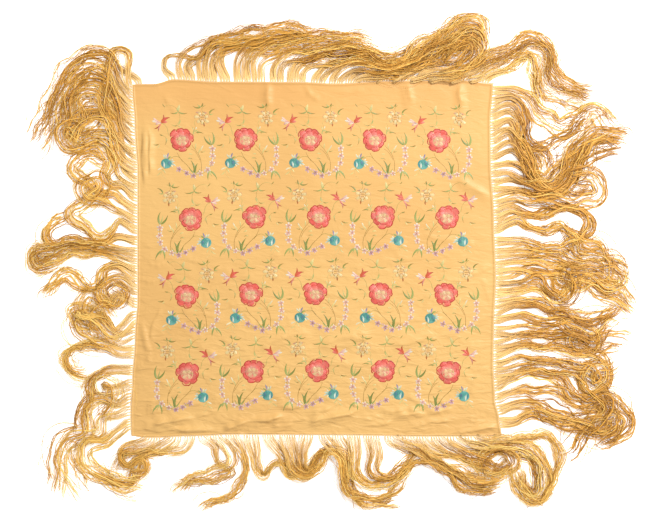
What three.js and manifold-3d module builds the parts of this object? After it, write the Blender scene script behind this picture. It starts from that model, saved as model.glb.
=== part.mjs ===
// A square silk shawl with a long knotted fringe, laid out flat.
// Millimetres, +X right, +Y away from the near edge, +Z up, origin at the centre of the cloth's underside.

import * as THREE from 'three';
import { mergeVertices } from 'three/addons/utils/BufferGeometryUtils.js';
import Module from 'manifold-3d';

const wasm = await Module();
wasm.setup();

// The cloth: half its cut size, its wall, and how far in from the edge its outline bends the weave
const cloth = { halfWide: 550, halfDeep: 540, thick: 1.2, bend: 160 };

// The rolled hem: its width from the edge, and how far it stands over the cloth at the edge and at its crest
const hem = { wide: 5, edgeRise: 0.4, crestRise: 1.1 };

// The fringe's knotted heading: its gap to the hem, width, height, and how far it stops short of a corner
const heading = { gap: 0.3, wide: 3.4, high: 2.4, short: 1.5 };

// The fringe's locks: heights as a share of width between two limits, widths, and how they leave the cloth
const lock = {
  highShare: 0.34,
  lowest: 2.6,
  highest: 4.2,
  widest: 9,
  fill: 0.78,
  pitch: 20,
  rootOut: 2.2,
  comb: 24,
  firstStep: 13,
  gather: 85,
};

// How finely a lock is stepped: its run's grain, then a step for each length and for each amount of turning
const step = { grain: 4, length: 110, turn: 54 };

// How locks lie on each other: gaps in plan and in height, the height above the ground, and over the cloth,
// how near the cloth counts as over it and at how many places a stretch is tried for that, the length of the
// short pieces that locks are compared in, and how often a lock is lifted at most
const pile = {
  beside: 0.5,
  above: 0.4,
  ground: 0.4,
  overCloth: 8,
  clothReach: 5,
  clothTries: 8,
  piece: 14,
  lifts: 60,
};

// Points nearer than the first are one point, and numbers nearer than the second are one number
const tiny = { apart: 1e-4, number: 1e-9 };

// Where each edge of the cloth runs, a row for each place along it
const edges = {
  left: [
    { along: -540, at: -561 },
    { along: -460, at: -562 },
    { along: -370, at: -557 },
    { along: -250, at: -549 },
    { along: -120, at: -541 },
    { along: 260, at: -541 },
    { along: 400, at: -549 },
    { along: 540, at: -557 },
  ],
  right: [
    { along: -540, at: 566 },
    { along: -490, at: 559 },
    { along: -430, at: 546 },
    { along: -320, at: 541 },
    { along: -200, at: 543 },
    { along: -60, at: 549 },
    { along: 120, at: 543 },
    { along: 300, at: 533 },
    { along: 420, at: 532 },
    { along: 540, at: 540 },
  ],
  top: [
    { along: -550, at: 531 },
    { along: -490, at: 531 },
    { along: -430, at: 545 },
    { along: -300, at: 538 },
    { along: -50, at: 537 },
    { along: 60, at: 532 },
    { along: 220, at: 540 },
    { along: 440, at: 543 },
    { along: 550, at: 533 },
  ],
  bottom: [
    { along: -550, at: -541 },
    { along: -490, at: -545 },
    { along: -380, at: -540 },
    { along: -250, at: -535 },
    { along: 60, at: -537 },
    { along: 350, at: -541 },
    { along: 550, at: -540 },
  ],
};

// The largest folds, a row each: centre, length, heading in degrees, half width and height
const folds = [
  { x: -516, y: 322, length: 190, turn: 91, wide: 16, high: 4 },
  { x: -519, y: -246, length: 130, turn: 104, wide: 15, high: 3.5 },
  { x: -516, y: -326, length: 110, turn: 28, wide: 15, high: 3.5 },
  { x: -436, y: -500, length: 150, turn: 11, wide: 17, high: 5 },
  { x: -236, y: -510, length: 110, turn: 26, wide: 16, high: 4.5 },
  { x: -140, y: -488, length: 130, turn: 9, wide: 15, high: 4 },
  { x: -372, y: -524, length: 180, turn: 1, wide: 13, high: 4 },
  { x: 52, y: -490, length: 160, turn: 12, wide: 16, high: 5 },
  { x: 285, y: -479, length: 110, turn: 8, wide: 14, high: 3.5 },
  { x: 498, y: -524, length: 150, turn: 11, wide: 14, high: 5 },
  { x: -92, y: -248, length: 170, turn: 17, wide: 34, high: 3.5 },
  { x: 94, y: -248, length: 170, turn: 16, wide: 34, high: 3.5 },
  { x: 300, y: -250, length: 150, turn: 19, wide: 34, high: 3 },
  { x: 105, y: -325, length: 170, turn: 0, wide: 36, high: 3 },
  { x: -148, y: 500, length: 110, turn: 91, wide: 24, high: 2.5 },
  { x: 280, y: 498, length: 100, turn: 100, wide: 24, high: 2.5 },
  { x: 443, y: 482, length: 120, turn: 95, wide: 24, high: 3 },
  { x: 486, y: 206, length: 130, turn: -29, wide: 22, high: 3.5 },
];

// How the weave's lines are spread over the cloth between the hem lines, a row for each stretch
const weaveAcross = [
  { to: -486, parts: 5 },
  { to: 494, parts: 21 },
  { to: 540, parts: 3 },
];
const weaveAlong = [
  { to: -448, parts: 7 },
  { to: 448, parts: 19 },
  { to: 530, parts: 3 },
];

// The fringe, combed by hand into hanks, a row each: the middle and width of its roots along the edge,
// the hank's own width, and the places that it passes through
const hanks = {
  top: [
    {
      at: -538, span: 22, wide: 14,
      via: [[-562, 562], [-598, 580], [-618, 622], [-668, 634], [-730, 596], [-768, 540]],
    },
    {
      at: -437, span: 26, wide: 10,
      via: [[-462, 578], [-458, 614], [-418, 620], [-372, 612], [-318, 650], [-240, 672]],
    },
    {
      at: -392, span: 56, wide: 26,
      via: [[-402, 590], [-372, 624], [-315, 656], [-240, 673], [-160, 684]],
    },
    {
      at: -330, span: 62, wide: 36,
      via: [[-330, 600], [-308, 640], [-240, 658], [-165, 676], [-85, 690], [-10, 672]],
    },
    {
      at: -274, span: 34, wide: 18,
      via: [[-289, 600], [-275, 638], [-215, 645], [-130, 664], [-40, 678]],
    },
    {
      at: -222, span: 54, wide: 38,
      via: [[-222, 600], [-196, 632], [-130, 646], [-50, 662], [50, 668], [130, 655]],
    },
    {
      at: -172, span: 42, wide: 34,
      via: [[-172, 590], [-150, 614], [-90, 630], [-10, 648], [80, 652], [165, 632]],
    },
    {
      at: -118, span: 46, wide: 24,
      via: [[-116, 580], [-90, 604], [-20, 622], [60, 632], [140, 632], [210, 612]],
    },
    {
      at: -58, span: 60, wide: 40,
      via: [[-52, 575], [-20, 600], [50, 612], [120, 618], [190, 604], [250, 606], [310, 636]],
    },
    {
      at: 8, span: 46, wide: 16,
      via: [[38, 580], [90, 596], [150, 606], [210, 590], [270, 600], [340, 640], [400, 672]],
    },
    {
      at: 62, span: 44, wide: 18,
      via: [[88, 570], [130, 584], [190, 576], [250, 578], [310, 604], [380, 640], [440, 664]],
    },
    {
      at: 112, span: 44, wide: 24,
      via: [[140, 562], [200, 562], [262, 566], [320, 592], [380, 660], [420, 712], [462, 738]],
    },
    {
      at: 168, span: 50, wide: 26,
      via: [[200, 566], [262, 584], [330, 655], [400, 690], [450, 722], [500, 712], [517, 650]],
    },
    {
      at: 222, span: 46, wide: 24,
      via: [[250, 562], [310, 586], [390, 620], [462, 650], [500, 690], [455, 700], [410, 668]],
    },
    {
      at: 276, span: 50, wide: 24,
      via: [[310, 562], [370, 575], [440, 590], [500, 640], [480, 680], [430, 650]],
    },
    {
      at: 334, span: 52, wide: 22,
      via: [[370, 560], [430, 572], [485, 610], [470, 660], [420, 640], [385, 605]],
    },
    {
      at: 396, span: 56, wide: 28,
      via: [[430, 560], [490, 580], [545, 610], [600, 636], [655, 668], [704, 640], [722, 570],
        [775, 518], [832, 500]],
    },
    {
      at: 456, span: 50, wide: 32,
      via: [[490, 560], [545, 585], [600, 612], [650, 640], [688, 622], [694, 560], [715, 510],
        [780, 492], [835, 470]],
    },
    {
      at: 510, span: 40, wide: 22,
      via: [[530, 562], [570, 580], [620, 606], [660, 612], [670, 570], [676, 520], [692, 474]],
    },
  ],
  right: [
    {
      at: 512, span: 30, wide: 22,
      via: [[600, 512], [648, 484], [690, 434], [745, 398], [800, 418], [842, 452], [884, 408]],
    },
    {
      at: 478, span: 34, wide: 16,
      via: [[595, 494], [630, 466], [643, 410], [658, 350], [705, 352], [765, 385], [820, 432]],
    },
    {
      at: 440, span: 36, wide: 14,
      via: [[595, 458], [620, 425], [628, 370], [655, 330], [692, 316], [702, 268]],
    },
    {
      at: 402, span: 34, wide: 12,
      via: [[590, 420], [612, 385], [622, 340], [655, 300], [672, 245], [705, 212]],
    },
    {
      at: 364, span: 36, wide: 12,
      via: [[588, 386], [612, 350], [640, 310], [656, 262], [680, 225], [722, 192], [770, 180]],
    },
    {
      at: 318, span: 44, wide: 16,
      via: [[595, 340], [632, 305], [652, 262], [675, 222], [720, 205], [768, 228], [800, 290],
        [832, 352]],
    },
    {
      at: 270, span: 46, wide: 20,
      via: [[598, 276], [645, 246], [695, 228], [740, 260], [795, 302], [850, 334], [928, 350]],
    },
    {
      at: 222, span: 44, wide: 22,
      via: [[600, 228], [660, 208], [722, 206], [765, 245], [790, 320], [850, 376], [940, 367]],
    },
    {
      at: 176, span: 40, wide: 20,
      via: [[600, 190], [665, 184], [730, 188], [800, 177], [858, 196], [842, 244], [792, 240]],
    },
    {
      at: 132, span: 40, wide: 14,
      via: [[600, 150], [655, 126], [710, 138], [765, 160], [808, 140], [832, 100], [800, 62],
        [765, 45]],
    },
    {
      at: 92, span: 36, wide: 14,
      via: [[610, 120], [660, 98], [705, 84], [745, 103], [778, 78], [818, 54], [864, 42], [888, 15]],
    },
    {
      at: 52, span: 34, wide: 16,
      via: [[610, 54], [670, 40], [735, 30], [790, 54], [806, 20], [850, 3], [896, -16], [892, -56],
        [845, -66]],
    },
    {
      at: 15, span: 36, wide: 20,
      via: [[615, 20], [680, 14], [745, 14], [790, -12], [850, -4], [905, -12], [944, -32]],
    },
    {
      at: -28, span: 44, wide: 24,
      via: [[615, -22], [690, -32], [755, -40], [820, -56], [880, -92], [930, -115], [967, -147]],
    },
    {
      at: -70, span: 36, wide: 14,
      via: [[615, -65], [660, -42], [698, -58], [715, -95], [755, -115], [785, -80], [762, -45],
        [815, -38]],
    },
    {
      at: -106, span: 32, wide: 12,
      via: [[615, -98], [680, -94], [740, -114], [788, -85], [840, -65], [895, -90], [932, -68],
        [905, -48]],
    },
    {
      at: -140, span: 32, wide: 12,
      via: [[615, -125], [685, -130], [745, -160], [800, -178], [860, -172], [912, -145]],
    },
    {
      at: -180, span: 42, wide: 18,
      via: [[610, -165], [680, -178], [745, -182], [795, -212], [845, -225], [902, -197]],
    },
    {
      at: -224, span: 40, wide: 22,
      via: [[620, -222], [700, -222], [780, -208], [842, -228], [830, -272], [785, -258], [795, -226]],
    },
    {
      at: -266, span: 38, wide: 24,
      via: [[620, -252], [700, -250], [770, -248], [840, -270], [890, -256], [940, -258]],
    },
    {
      at: -310, span: 46, wide: 28,
      via: [[620, -290], [700, -296], [780, -306], [850, -326], [872, -366], [838, -384], [850, -340],
        [905, -334]],
    },
    {
      at: -352, span: 38, wide: 18,
      via: [[620, -336], [690, -322], [760, -334], [815, -360], [860, -400], [896, -450], [872, -490]],
    },
    {
      at: -390, span: 34, wide: 14,
      via: [[620, -356], [690, -356], [750, -384], [790, -430], [850, -430], [908, -442], [950, -495],
        [935, -530], [890, -546]],
    },
    {
      at: -426, span: 34, wide: 22,
      via: [[625, -396], [690, -402], [760, -416], [820, -445], [884, -434], [858, -492], [810, -550],
        [778, -600]],
    },
    {
      at: -462, span: 34, wide: 22,
      via: [[625, -440], [690, -448], [740, -480], [800, -500], [860, -482], [912, -474], [908, -522],
        [862, -548]],
    },
    {
      at: -500, span: 36, wide: 14,
      via: [[612, -498], [660, -476], [710, -492], [770, -504], [830, -522], [880, -540], [918, -500]],
    },
  ],
  bottom: [
    {
      at: 532, span: 44, wide: 34,
      via: [[570, -556], [640, -548], [705, -538], [738, -590], [728, -660], [690, -724], [640, -712],
        [628, -650]],
    },
    {
      at: 478, span: 50, wide: 34,
      via: [[520, -562], [590, -566], [650, -580], [695, -630], [700, -700], [660, -730], [625, -700],
        [606, -640]],
    },
    {
      at: 424, span: 50, wide: 26,
      via: [[455, -566], [520, -582], [590, -584], [650, -606], [682, -660], [668, -712], [630, -690]],
    },
    {
      at: 372, span: 44, wide: 22,
      via: [[400, -572], [450, -592], [510, -614], [560, -640], [600, -622], [564, -592], [520, -604],
        [512, -650]],
    },
    {
      at: 326, span: 40, wide: 22,
      via: [[350, -576], [400, -602], [455, -614], [505, -644], [555, -656], [592, -636]],
    },
    {
      at: 282, span: 40, wide: 24,
      via: [[308, -575], [355, -602], [405, -632], [462, -658], [530, -668], [566, -640]],
    },
    {
      at: 232, span: 48, wide: 20,
      via: [[268, -568], [322, -588], [372, -618], [430, -660], [495, -684], [550, -684]],
    },
    {
      at: 170, span: 54, wide: 24,
      via: [[180, -590], [183, -645], [216, -668], [262, -640], [308, -602], [355, -612], [405, -650],
        [450, -690], [535, -698]],
    },
    {
      at: 116, span: 44, wide: 16,
      via: [[122, -592], [120, -650], [156, -684], [215, -684], [270, -654], [298, -612]],
    },
    {
      at: 68, span: 38, wide: 22,
      via: [[92, -588], [99, -650], [107, -705], [152, -740], [210, -750], [245, -740]],
    },
    {
      at: 26, span: 36, wide: 16,
      via: [[54, -574], [84, -606], [84, -665], [103, -712], [170, -726], [222, -718], [256, -680]],
    },
    {
      at: -28, span: 48, wide: 22,
      via: [[-42, -590], [-42, -636], [-8, -640], [12, -602], [50, -586], [86, -626], [94, -700],
        [144, -756]],
    },
    {
      at: -86, span: 52, wide: 34,
      via: [[-75, -585], [-60, -630], [-26, -654], [6, -622], [44, -584], [84, -602], [92, -660]],
    },
    {
      at: -142, span: 44, wide: 24,
      via: [[-122, -575], [-92, -612], [-70, -656], [-34, -664], [-6, -636], [14, -600]],
    },
    {
      at: -196, span: 50, wide: 16,
      via: [[-187, -588], [-186, -640], [-158, -664], [-126, -630], [-98, -628], [-84, -664],
        [-52, -668]],
    },
    {
      at: -254, span: 44, wide: 26,
      via: [[-225, -582], [-210, -635], [-228, -692], [-285, -738], [-342, -756]],
    },
    {
      at: -304, span: 38, wide: 20,
      via: [[-270, -578], [-262, -620], [-320, -648], [-380, -668], [-420, -704]],
    },
    {
      at: -344, span: 32, wide: 12,
      via: [[-306, -572], [-300, -620], [-250, -652], [-310, -678], [-405, -684]],
    },
    {
      at: -382, span: 36, wide: 22,
      via: [[-400, -580], [-460, -592], [-530, -586], [-590, -605], [-604, -640]],
    },
    {
      at: -430, span: 48, wide: 22,
      via: [[-466, -576], [-520, -600], [-548, -640], [-565, -688], [-620, -680], [-655, -655]],
    },
    {
      at: -498, span: 54, wide: 16,
      via: [[-535, -574], [-588, -590], [-575, -626], [-530, -612], [-512, -640], [-545, -668]],
    },
  ],
  left: [
    {
      at: 522, span: 22, wide: 16,
      via: [[-575, 575], [-578, 622], [-608, 628], [-622, 580], [-632, 520], [-642, 450]],
    },
    {
      at: 494, span: 30, wide: 28,
      via: [[-600, 545], [-640, 608], [-700, 612], [-755, 562], [-788, 500], [-815, 430], [-866, 352]],
    },
    {
      at: 460, span: 34, wide: 26,
      via: [[-600, 510], [-640, 582], [-700, 586], [-752, 536], [-778, 475], [-790, 410]],
    },
    {
      at: 424, span: 34, wide: 22,
      via: [[-600, 466], [-645, 530], [-700, 556], [-745, 520], [-770, 455], [-822, 388]],
    },
    {
      at: 388, span: 34, wide: 24,
      via: [[-598, 430], [-645, 484], [-705, 494], [-735, 450], [-695, 420], [-658, 448]],
    },
    {
      at: 345, span: 40, wide: 22,
      via: [[-598, 385], [-620, 445], [-655, 516], [-700, 520], [-735, 480], [-728, 430]],
    },
    {
      at: 290, span: 60, wide: 20,
      via: [[-594, 325], [-606, 385], [-632, 430], [-680, 440], [-728, 410], [-756, 362]],
    },
    {
      at: 232, span: 44, wide: 20,
      via: [[-592, 262], [-602, 315], [-625, 360], [-680, 375], [-742, 350], [-768, 388], [-718, 402]],
    },
    {
      at: 188, span: 34, wide: 20,
      via: [[-588, 222], [-622, 222], [-645, 250], [-624, 300], [-652, 342], [-715, 342], [-765, 362]],
    },
    {
      at: 150, span: 32, wide: 16,
      via: [[-590, 180], [-615, 202], [-660, 208], [-705, 236], [-738, 278], [-700, 308], [-645, 300]],
    },
    {
      at: 118, span: 26, wide: 20,
      via: [[-600, 146], [-640, 168], [-690, 184], [-708, 222], [-664, 250], [-650, 210], [-684, 168]],
    },
    {
      at: 88, span: 30, wide: 18,
      via: [[-598, 118], [-622, 94], [-660, 72], [-706, 100], [-738, 136], [-705, 156], [-660, 184]],
    },
    {
      at: 54, span: 32, wide: 12,
      via: [[-605, 66], [-650, 46], [-720, 50], [-790, 44], [-816, 72], [-800, 115], [-764, 130]],
    },
    {
      at: 20, span: 32, wide: 18,
      via: [[-610, 30], [-690, 33], [-755, 38], [-815, 18], [-868, 0], [-845, -26], [-795, -15]],
    },
    {
      at: -16, span: 36, wide: 18,
      via: [[-610, 4], [-690, 14], [-750, 20], [-800, -12], [-850, -20], [-862, 14], [-820, 36]],
    },
    {
      at: -55, span: 36, wide: 16,
      via: [[-602, -22], [-645, -36], [-662, -84], [-706, -88], [-760, -53], [-824, -106]],
    },
    {
      at: -95, span: 36, wide: 16,
      via: [[-590, -64], [-630, -68], [-646, -110], [-605, -140], [-584, -108], [-612, -88]],
    },
    {
      at: -136, span: 34, wide: 22,
      via: [[-598, -114], [-640, -140], [-690, -112], [-714, -150], [-680, -182], [-645, -150],
        [-618, -192]],
    },
    {
      at: -178, span: 40, wide: 20,
      via: [[-580, -206], [-612, -228], [-642, -190], [-700, -160], [-744, -158], [-722, -192],
        [-665, -196]],
    },
    {
      at: -226, span: 40, wide: 22,
      via: [[-594, -242], [-632, -222], [-668, -182], [-718, -190], [-702, -226], [-650, -250]],
    },
    {
      at: -284, span: 46, wide: 10,
      via: [[-600, -285], [-642, -264], [-710, -266], [-758, -300], [-740, -340], [-698, -350]],
    },
    {
      at: -340, span: 36, wide: 10,
      via: [[-598, -338], [-645, -342], [-682, -372], [-686, -425], [-706, -470], [-700, -520]],
    },
    {
      at: -384, span: 36, wide: 14,
      via: [[-600, -398], [-650, -402], [-656, -370], [-616, -380], [-618, -438], [-640, -486]],
    },
    {
      at: -424, span: 34, wide: 22,
      via: [[-602, -446], [-650, -434], [-704, -462], [-702, -530], [-765, -570], [-782, -640],
        [-785, -705]],
    },
    {
      at: -464, span: 34, wide: 22,
      via: [[-605, -480], [-652, -490], [-650, -532], [-700, -545], [-760, -580], [-742, -655],
        [-704, -706]],
    },
    {
      at: -504, span: 36, wide: 22,
      via: [[-602, -530], [-645, -556], [-695, -572], [-704, -618], [-660, -652], [-600, -684],
        [-546, -692]],
    },
  ],
};

// Each side's way out from the cloth, and which of a point's numbers runs along it
const sides = {
  top: { out: new THREE.Vector2(0, 1), axis: 'x' },
  right: { out: new THREE.Vector2(1, 0), axis: 'y' },
  bottom: { out: new THREE.Vector2(0, -1), axis: 'x' },
  left: { out: new THREE.Vector2(-1, 0), axis: 'y' },
};

const silk = { color: 0xf6c67c, roughness: 0.42, metalness: 0 };
const thread = { color: 0xd7a258, roughness: 0.5, metalness: 0 };

const { lerp, clamp, smoothstep, degToRad, radToDeg } = THREE.MathUtils;

// The edge's place at a distance along it, eased from row to row
function edgeAt(side, distance) {
  const rows = edges[side];
  const next = Math.max(1, rows.findIndex((row) => row.along >= distance));
  const a = rows[next - 1];
  const b = rows[next];
  return lerp(a.at, b.at, smoothstep(distance, a.along, b.along));
}

// A point of the square cut moved to where it lies, so that the outline is the real one
function place(x, y) {
  const near = (depth) => 1 - smoothstep(depth, 0, cloth.bend);
  const left = (edgeAt('left', y) + cloth.halfWide) * near(x + cloth.halfWide);
  const right = (edgeAt('right', y) - cloth.halfWide) * near(cloth.halfWide - x);
  const bottom = (edgeAt('bottom', x) + cloth.halfDeep) * near(y + cloth.halfDeep);
  const top = (edgeAt('top', x) - cloth.halfDeep) * near(cloth.halfDeep - y);
  return new THREE.Vector2(x + left + right, y + bottom + top);
}

// How far the folds lift the cloth
function lift(point) {
  let most = 0;
  for (const fold of folds) {
    const away = new THREE.Vector2(point.x - fold.x, point.y - fold.y);
    away.rotateAround(new THREE.Vector2(), -degToRad(fold.turn));
    const over = 1 - (away.y / fold.wide) ** 2;
    const on = 1 - (2 * away.x / fold.length) ** 2;
    if (over > 0 && on > 0) most = Math.max(most, fold.high * over * over * on);
  }
  return most;
}

// How far the hem stands over the cloth at a distance in from its edge
function hemRise(depth) {
  if (depth >= hem.wide) return 0;
  const crest = 1 - Math.abs(2 * depth / hem.wide - 1);
  return depth < hem.wide / 2 ? lerp(hem.edgeRise, hem.crestRise, crest) : hem.crestRise * crest;
}

// The weave's lines from one edge to the other: the hem's three lines at each side and the stretches between
function weaveLines(half, stretches) {
  const lines = [-half, -half + hem.wide / 2, -half + hem.wide];
  for (const stretch of stretches) {
    const from = lines[lines.length - 1];
    for (let i = 1; i <= stretch.parts; i++) lines.push(lerp(from, stretch.to, i / stretch.parts));
  }
  lines.push(half - hem.wide, half - hem.wide / 2, half);
  return lines;
}

const columnLines = weaveLines(cloth.halfWide, weaveAcross);
const rowLines = weaveLines(cloth.halfDeep, weaveAlong);

function panelGeometry() {
  const wide = columnLines.length - 1;
  const deep = rowLines.length - 1;
  const box = new THREE.BoxGeometry(wide, deep, 1, wide, deep, 1);
  const position = box.getAttribute('position');
  for (let i = 0; i < position.count; i++) {
    const x = columnLines[Math.round(position.getX(i) + wide / 2)];
    const y = rowLines[Math.round(position.getY(i) + deep / 2)];
    const depth = Math.min(cloth.halfWide - Math.abs(x), cloth.halfDeep - Math.abs(y));
    const point = place(x, y);
    const top = position.getZ(i) > 0 ? cloth.thick + hemRise(depth) : 0;
    position.setXYZ(i, point.x, point.y, lift(point) + top);
  }
  return box;
}

// The cloth's outline on one side, in the points of its weave
function outline(side) {
  const level = sides[side].axis === 'x';
  const lines = level ? columnLines : rowLines;
  const half = level ? cloth.halfDeep : cloth.halfWide;
  const sign = sides[side].out.x + sides[side].out.y;
  return lines.map((line) => (level ? place(line, sign * half) : place(sign * half, line)));
}

// The heading's strip, a little way out from the outline, as a flat shape stood up
function headingGeometry(side) {
  const { out, axis } = sides[side];
  const points = outline(side);
  const first = points[0][axis] + heading.short;
  const last = points[points.length - 1][axis] - heading.short;
  for (const point of points) point[axis] = clamp(point[axis], first, last);
  const inner = points.map((point) => point.clone().addScaledVector(out, heading.gap));
  const outer = points.map((point) => point.clone().addScaledVector(out, heading.gap + heading.wide));
  const shape = new THREE.Shape([...inner, ...outer.reverse()]);
  return new THREE.ExtrudeGeometry(shape, { depth: heading.high, bevelEnabled: false });
}

// The place on a side's outline at a distance along it
function rootPoint(side, distance) {
  const { out, axis } = sides[side];
  const points = outline(side);
  const next = Math.max(1, points.findIndex((point) => point[axis] >= distance));
  const a = points[next - 1];
  const b = points[next];
  const share = (distance - a[axis]) / (b[axis] - a[axis]);
  return a.clone().lerp(b, share).addScaledVector(out, lock.rootOut);
}

const leftOf = (way) => new THREE.Vector2(-way.y, way.x);

// A lock's run in plan: out of the heading side by side, then gathered into its hank
function lockRun(side, hank, across) {
  const { out, axis } = sides[side];
  const middle = rootPoint(side, hank.at);
  const combed = middle.clone().addScaledVector(out, lock.comb);
  const via = [middle, combed, ...hank.via.map(([x, y]) => new THREE.Vector2(x, y))];
  const level = via.map((p) => new THREE.Vector3(p.x, p.y, 0));
  const curve = new THREE.CatmullRomCurve3(level, false, 'centripetal');
  const count = Math.round(curve.getLength() / step.grain);
  const root = rootPoint(side, middle[axis] + across * hank.span / 2 * leftOf(out)[axis]);
  const points = [];
  for (const [i, p] of curve.getSpacedPoints(count).entries()) {
    const way = curve.getTangentAt(i / count);
    const gathered = smoothstep(i * step.grain, 0, lock.gather);
    const aside = across * lerp(hank.span, hank.wide, gathered) / 2;
    points.push(new THREE.Vector2(p.x, p.y).addScaledVector(leftOf(way), aside));
  }
  const slip = root.clone().sub(points[0]);
  points.forEach((p, i) => p.addScaledVector(slip, 1 - smoothstep(i * step.grain, 0, lock.comb)));
  return points;
}

// The steps of a run: close together where it turns, and further apart where it is straight
function stepped(points) {
  const reached = [0];
  for (let i = 1; i < points.length - 1; i++) {
    const before = points[i].clone().sub(points[i - 1]);
    const after = points[i + 1].clone().sub(points[i]);
    const turn = radToDeg(Math.abs(Math.atan2(before.cross(after), before.dot(after))));
    reached.push(reached[i - 1] + before.length() / step.length + turn / step.turn);
  }
  reached.push(reached[reached.length - 1] + step.grain / step.length);
  const start = Math.round(lock.firstStep / step.grain);
  const whole = reached[reached.length - 1] - reached[start];
  const count = Math.ceil(whole);
  const steps = [points[0]];
  for (let k = 0; k <= count; k++) {
    const wanted = reached[start] + whole * k / count;
    const i = reached.findIndex((value) => value >= wanted - tiny.number);
    if (points[i] !== steps[steps.length - 1]) steps.push(points[i]);
  }
  return steps;
}

// The least distance in plan between two straight stretches, none where they cross
function apart(a, b, c, d) {
  const one = b.clone().sub(a);
  const other = d.clone().sub(c);
  const offset = c.clone().sub(a);
  const area = one.cross(other);
  if (Math.abs(area) > tiny.number) {
    const t = offset.cross(other) / area;
    const u = offset.cross(one) / area;
    if (t >= 0 && t <= 1 && u >= 0 && u <= 1) return 0;
  }
  const toStretch = (p, q, way) => {
    const t = clamp(p.clone().sub(q).dot(way) / way.lengthSq(), 0, 1);
    return p.distanceTo(q.clone().addScaledVector(way, t));
  };
  const ends = [toStretch(a, c, other), toStretch(b, c, other), toStretch(c, a, one), toStretch(d, a, one)];
  return Math.min(...ends);
}

// True where a stretch passes over the cloth or its heading
function overCloth(a, b, half) {
  const reach = half + pile.clothReach;
  for (let i = 0; i <= pile.clothTries; i++) {
    const p = a.clone().lerp(b, i / pile.clothTries);
    const inWide = p.x > edgeAt('left', p.y) - reach && p.x < edgeAt('right', p.y) + reach;
    const inDeep = p.y > edgeAt('bottom', p.x) - reach && p.y < edgeAt('top', p.x) + reach;
    if (inWide && inDeep) return true;
  }
  return false;
}

// A run's straight stretches cut into short pieces, each with the pieces that it crosses in plan
const laid = [];
function cutPieces(steps, half) {
  const pieces = [];
  for (let stretch = 0; stretch + 1 < steps.length; stretch++) {
    const [start, end] = [steps[stretch], steps[stretch + 1]];
    const count = Math.ceil(start.distanceTo(end) / pile.piece);
    const others = [...laid, ...pieces.filter((other) => other.stretch < stretch - 1)];
    for (let k = 0; k < count; k++) {
      const piece = { stretch, half, from: k / count, to: (k + 1) / count };
      piece.a = start.clone().lerp(end, piece.from);
      piece.b = start.clone().lerp(end, piece.to);
      piece.crossed = others.filter((other) => meets(piece, other));
      pieces.push(piece);
    }
  }
  return pieces;
}

// True where two pieces lie over each other or too near each other in plan
function meets(piece, other) {
  const beside = piece.half + other.half + pile.beside;
  if (piece.a.distanceTo(other.a) > beside + 2 * pile.piece) return false;
  return apart(piece.a, piece.b, other.a, other.b) < beside;
}

// Lays a lock on the ground, under or over the locks already there, and gives its steps with their heights
function layDown(steps, half, high) {
  const pieces = cutPieces(steps, half);
  const least = [];
  for (let i = 0; i + 1 < steps.length; i++) {
    least.push(i > 0 && overCloth(steps[i], steps[i + 1], half) ? pile.overCloth : pile.ground);
  }
  let heights = [];
  let moved = true;
  for (let lifts = 0; moved && lifts < pile.lifts; lifts++) {
    moved = false;
    heights = steps.map((_, i) => Math.max(least[Math.max(i - 1, 0)], least[Math.min(i, least.length - 1)]));
    heights[0] = pile.ground;
    for (const piece of pieces) {
      const from = lerp(heights[piece.stretch], heights[piece.stretch + 1], piece.from);
      const to = lerp(heights[piece.stretch], heights[piece.stretch + 1], piece.to);
      piece.low = Math.min(from, to) - pile.above;
      piece.top = Math.max(from, to) + high;
    }
    for (const piece of pieces.filter((one) => one.stretch > 0)) {
      for (const other of piece.crossed) {
        const wanted = other.top + pile.above;
        if (piece.low >= other.top || other.low >= piece.top || least[piece.stretch] >= wanted) continue;
        least[piece.stretch] = wanted;
        moved = true;
      }
    }
  }
  laid.push(...pieces);
  return steps.map((p, i) => new THREE.Vector3(p.x, p.y, heights[i]));
}

// A path of straight stretches that keeps a lock's flat side down
class LockPath extends THREE.Curve {
  constructor(points) {
    super();
    this.points = points;
  }
  getPoint(t) {
    const reached = clamp(t, 0, 1) * (this.points.length - 1);
    const i = Math.min(Math.floor(reached), this.points.length - 2);
    return this.points[i].clone().lerp(this.points[i + 1], reached - i);
  }
  getPointAt(t) {
    return this.getPoint(t);
  }
  computeFrenetFrames(count) {
    const up = new THREE.Vector3(0, 0, 1);
    const frames = { tangents: [], normals: [], binormals: [] };
    for (let i = 0; i <= count; i++) {
      const before = this.points[i].clone().sub(this.points[Math.max(i - 1, 0)]).setZ(0).normalize();
      const after = this.points[Math.min(i + 1, count)].clone().sub(this.points[i]).setZ(0).normalize();
      const way = before.add(after).normalize();
      frames.tangents.push(way);
      frames.normals.push(up.clone());
      frames.binormals.push(way.clone().cross(up));
    }
    return frames;
  }
}

function lockGeometry(points, half, high) {
  const section = new THREE.Shape();
  section.moveTo(0, -half);
  section.lineTo(0, half);
  section.lineTo(high, 0);
  section.closePath();
  const extrudePath = new LockPath(points);
  return new THREE.ExtrudeGeometry(section, { steps: points.length - 1, extrudePath });
}

function welded(geometry) {
  geometry.deleteAttribute('normal');
  geometry.deleteAttribute('uv');
  return mergeVertices(geometry, tiny.apart);
}

function toSolid(geometry) {
  const merged = welded(geometry);
  const mesh = new wasm.Mesh({
    numProp: 3,
    vertProperties: new Float32Array(merged.getAttribute('position').array),
    triVerts: new Uint32Array(merged.getIndex().array),
  });
  return new wasm.Manifold(mesh);
}

function toGeometry(solid) {
  const mesh = solid.getMesh();
  const geometry = new THREE.BufferGeometry();
  geometry.setAttribute('position', new THREE.BufferAttribute(mesh.vertProperties, 3));
  geometry.setIndex(new THREE.BufferAttribute(mesh.triVerts, 1));
  return geometry;
}

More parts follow.
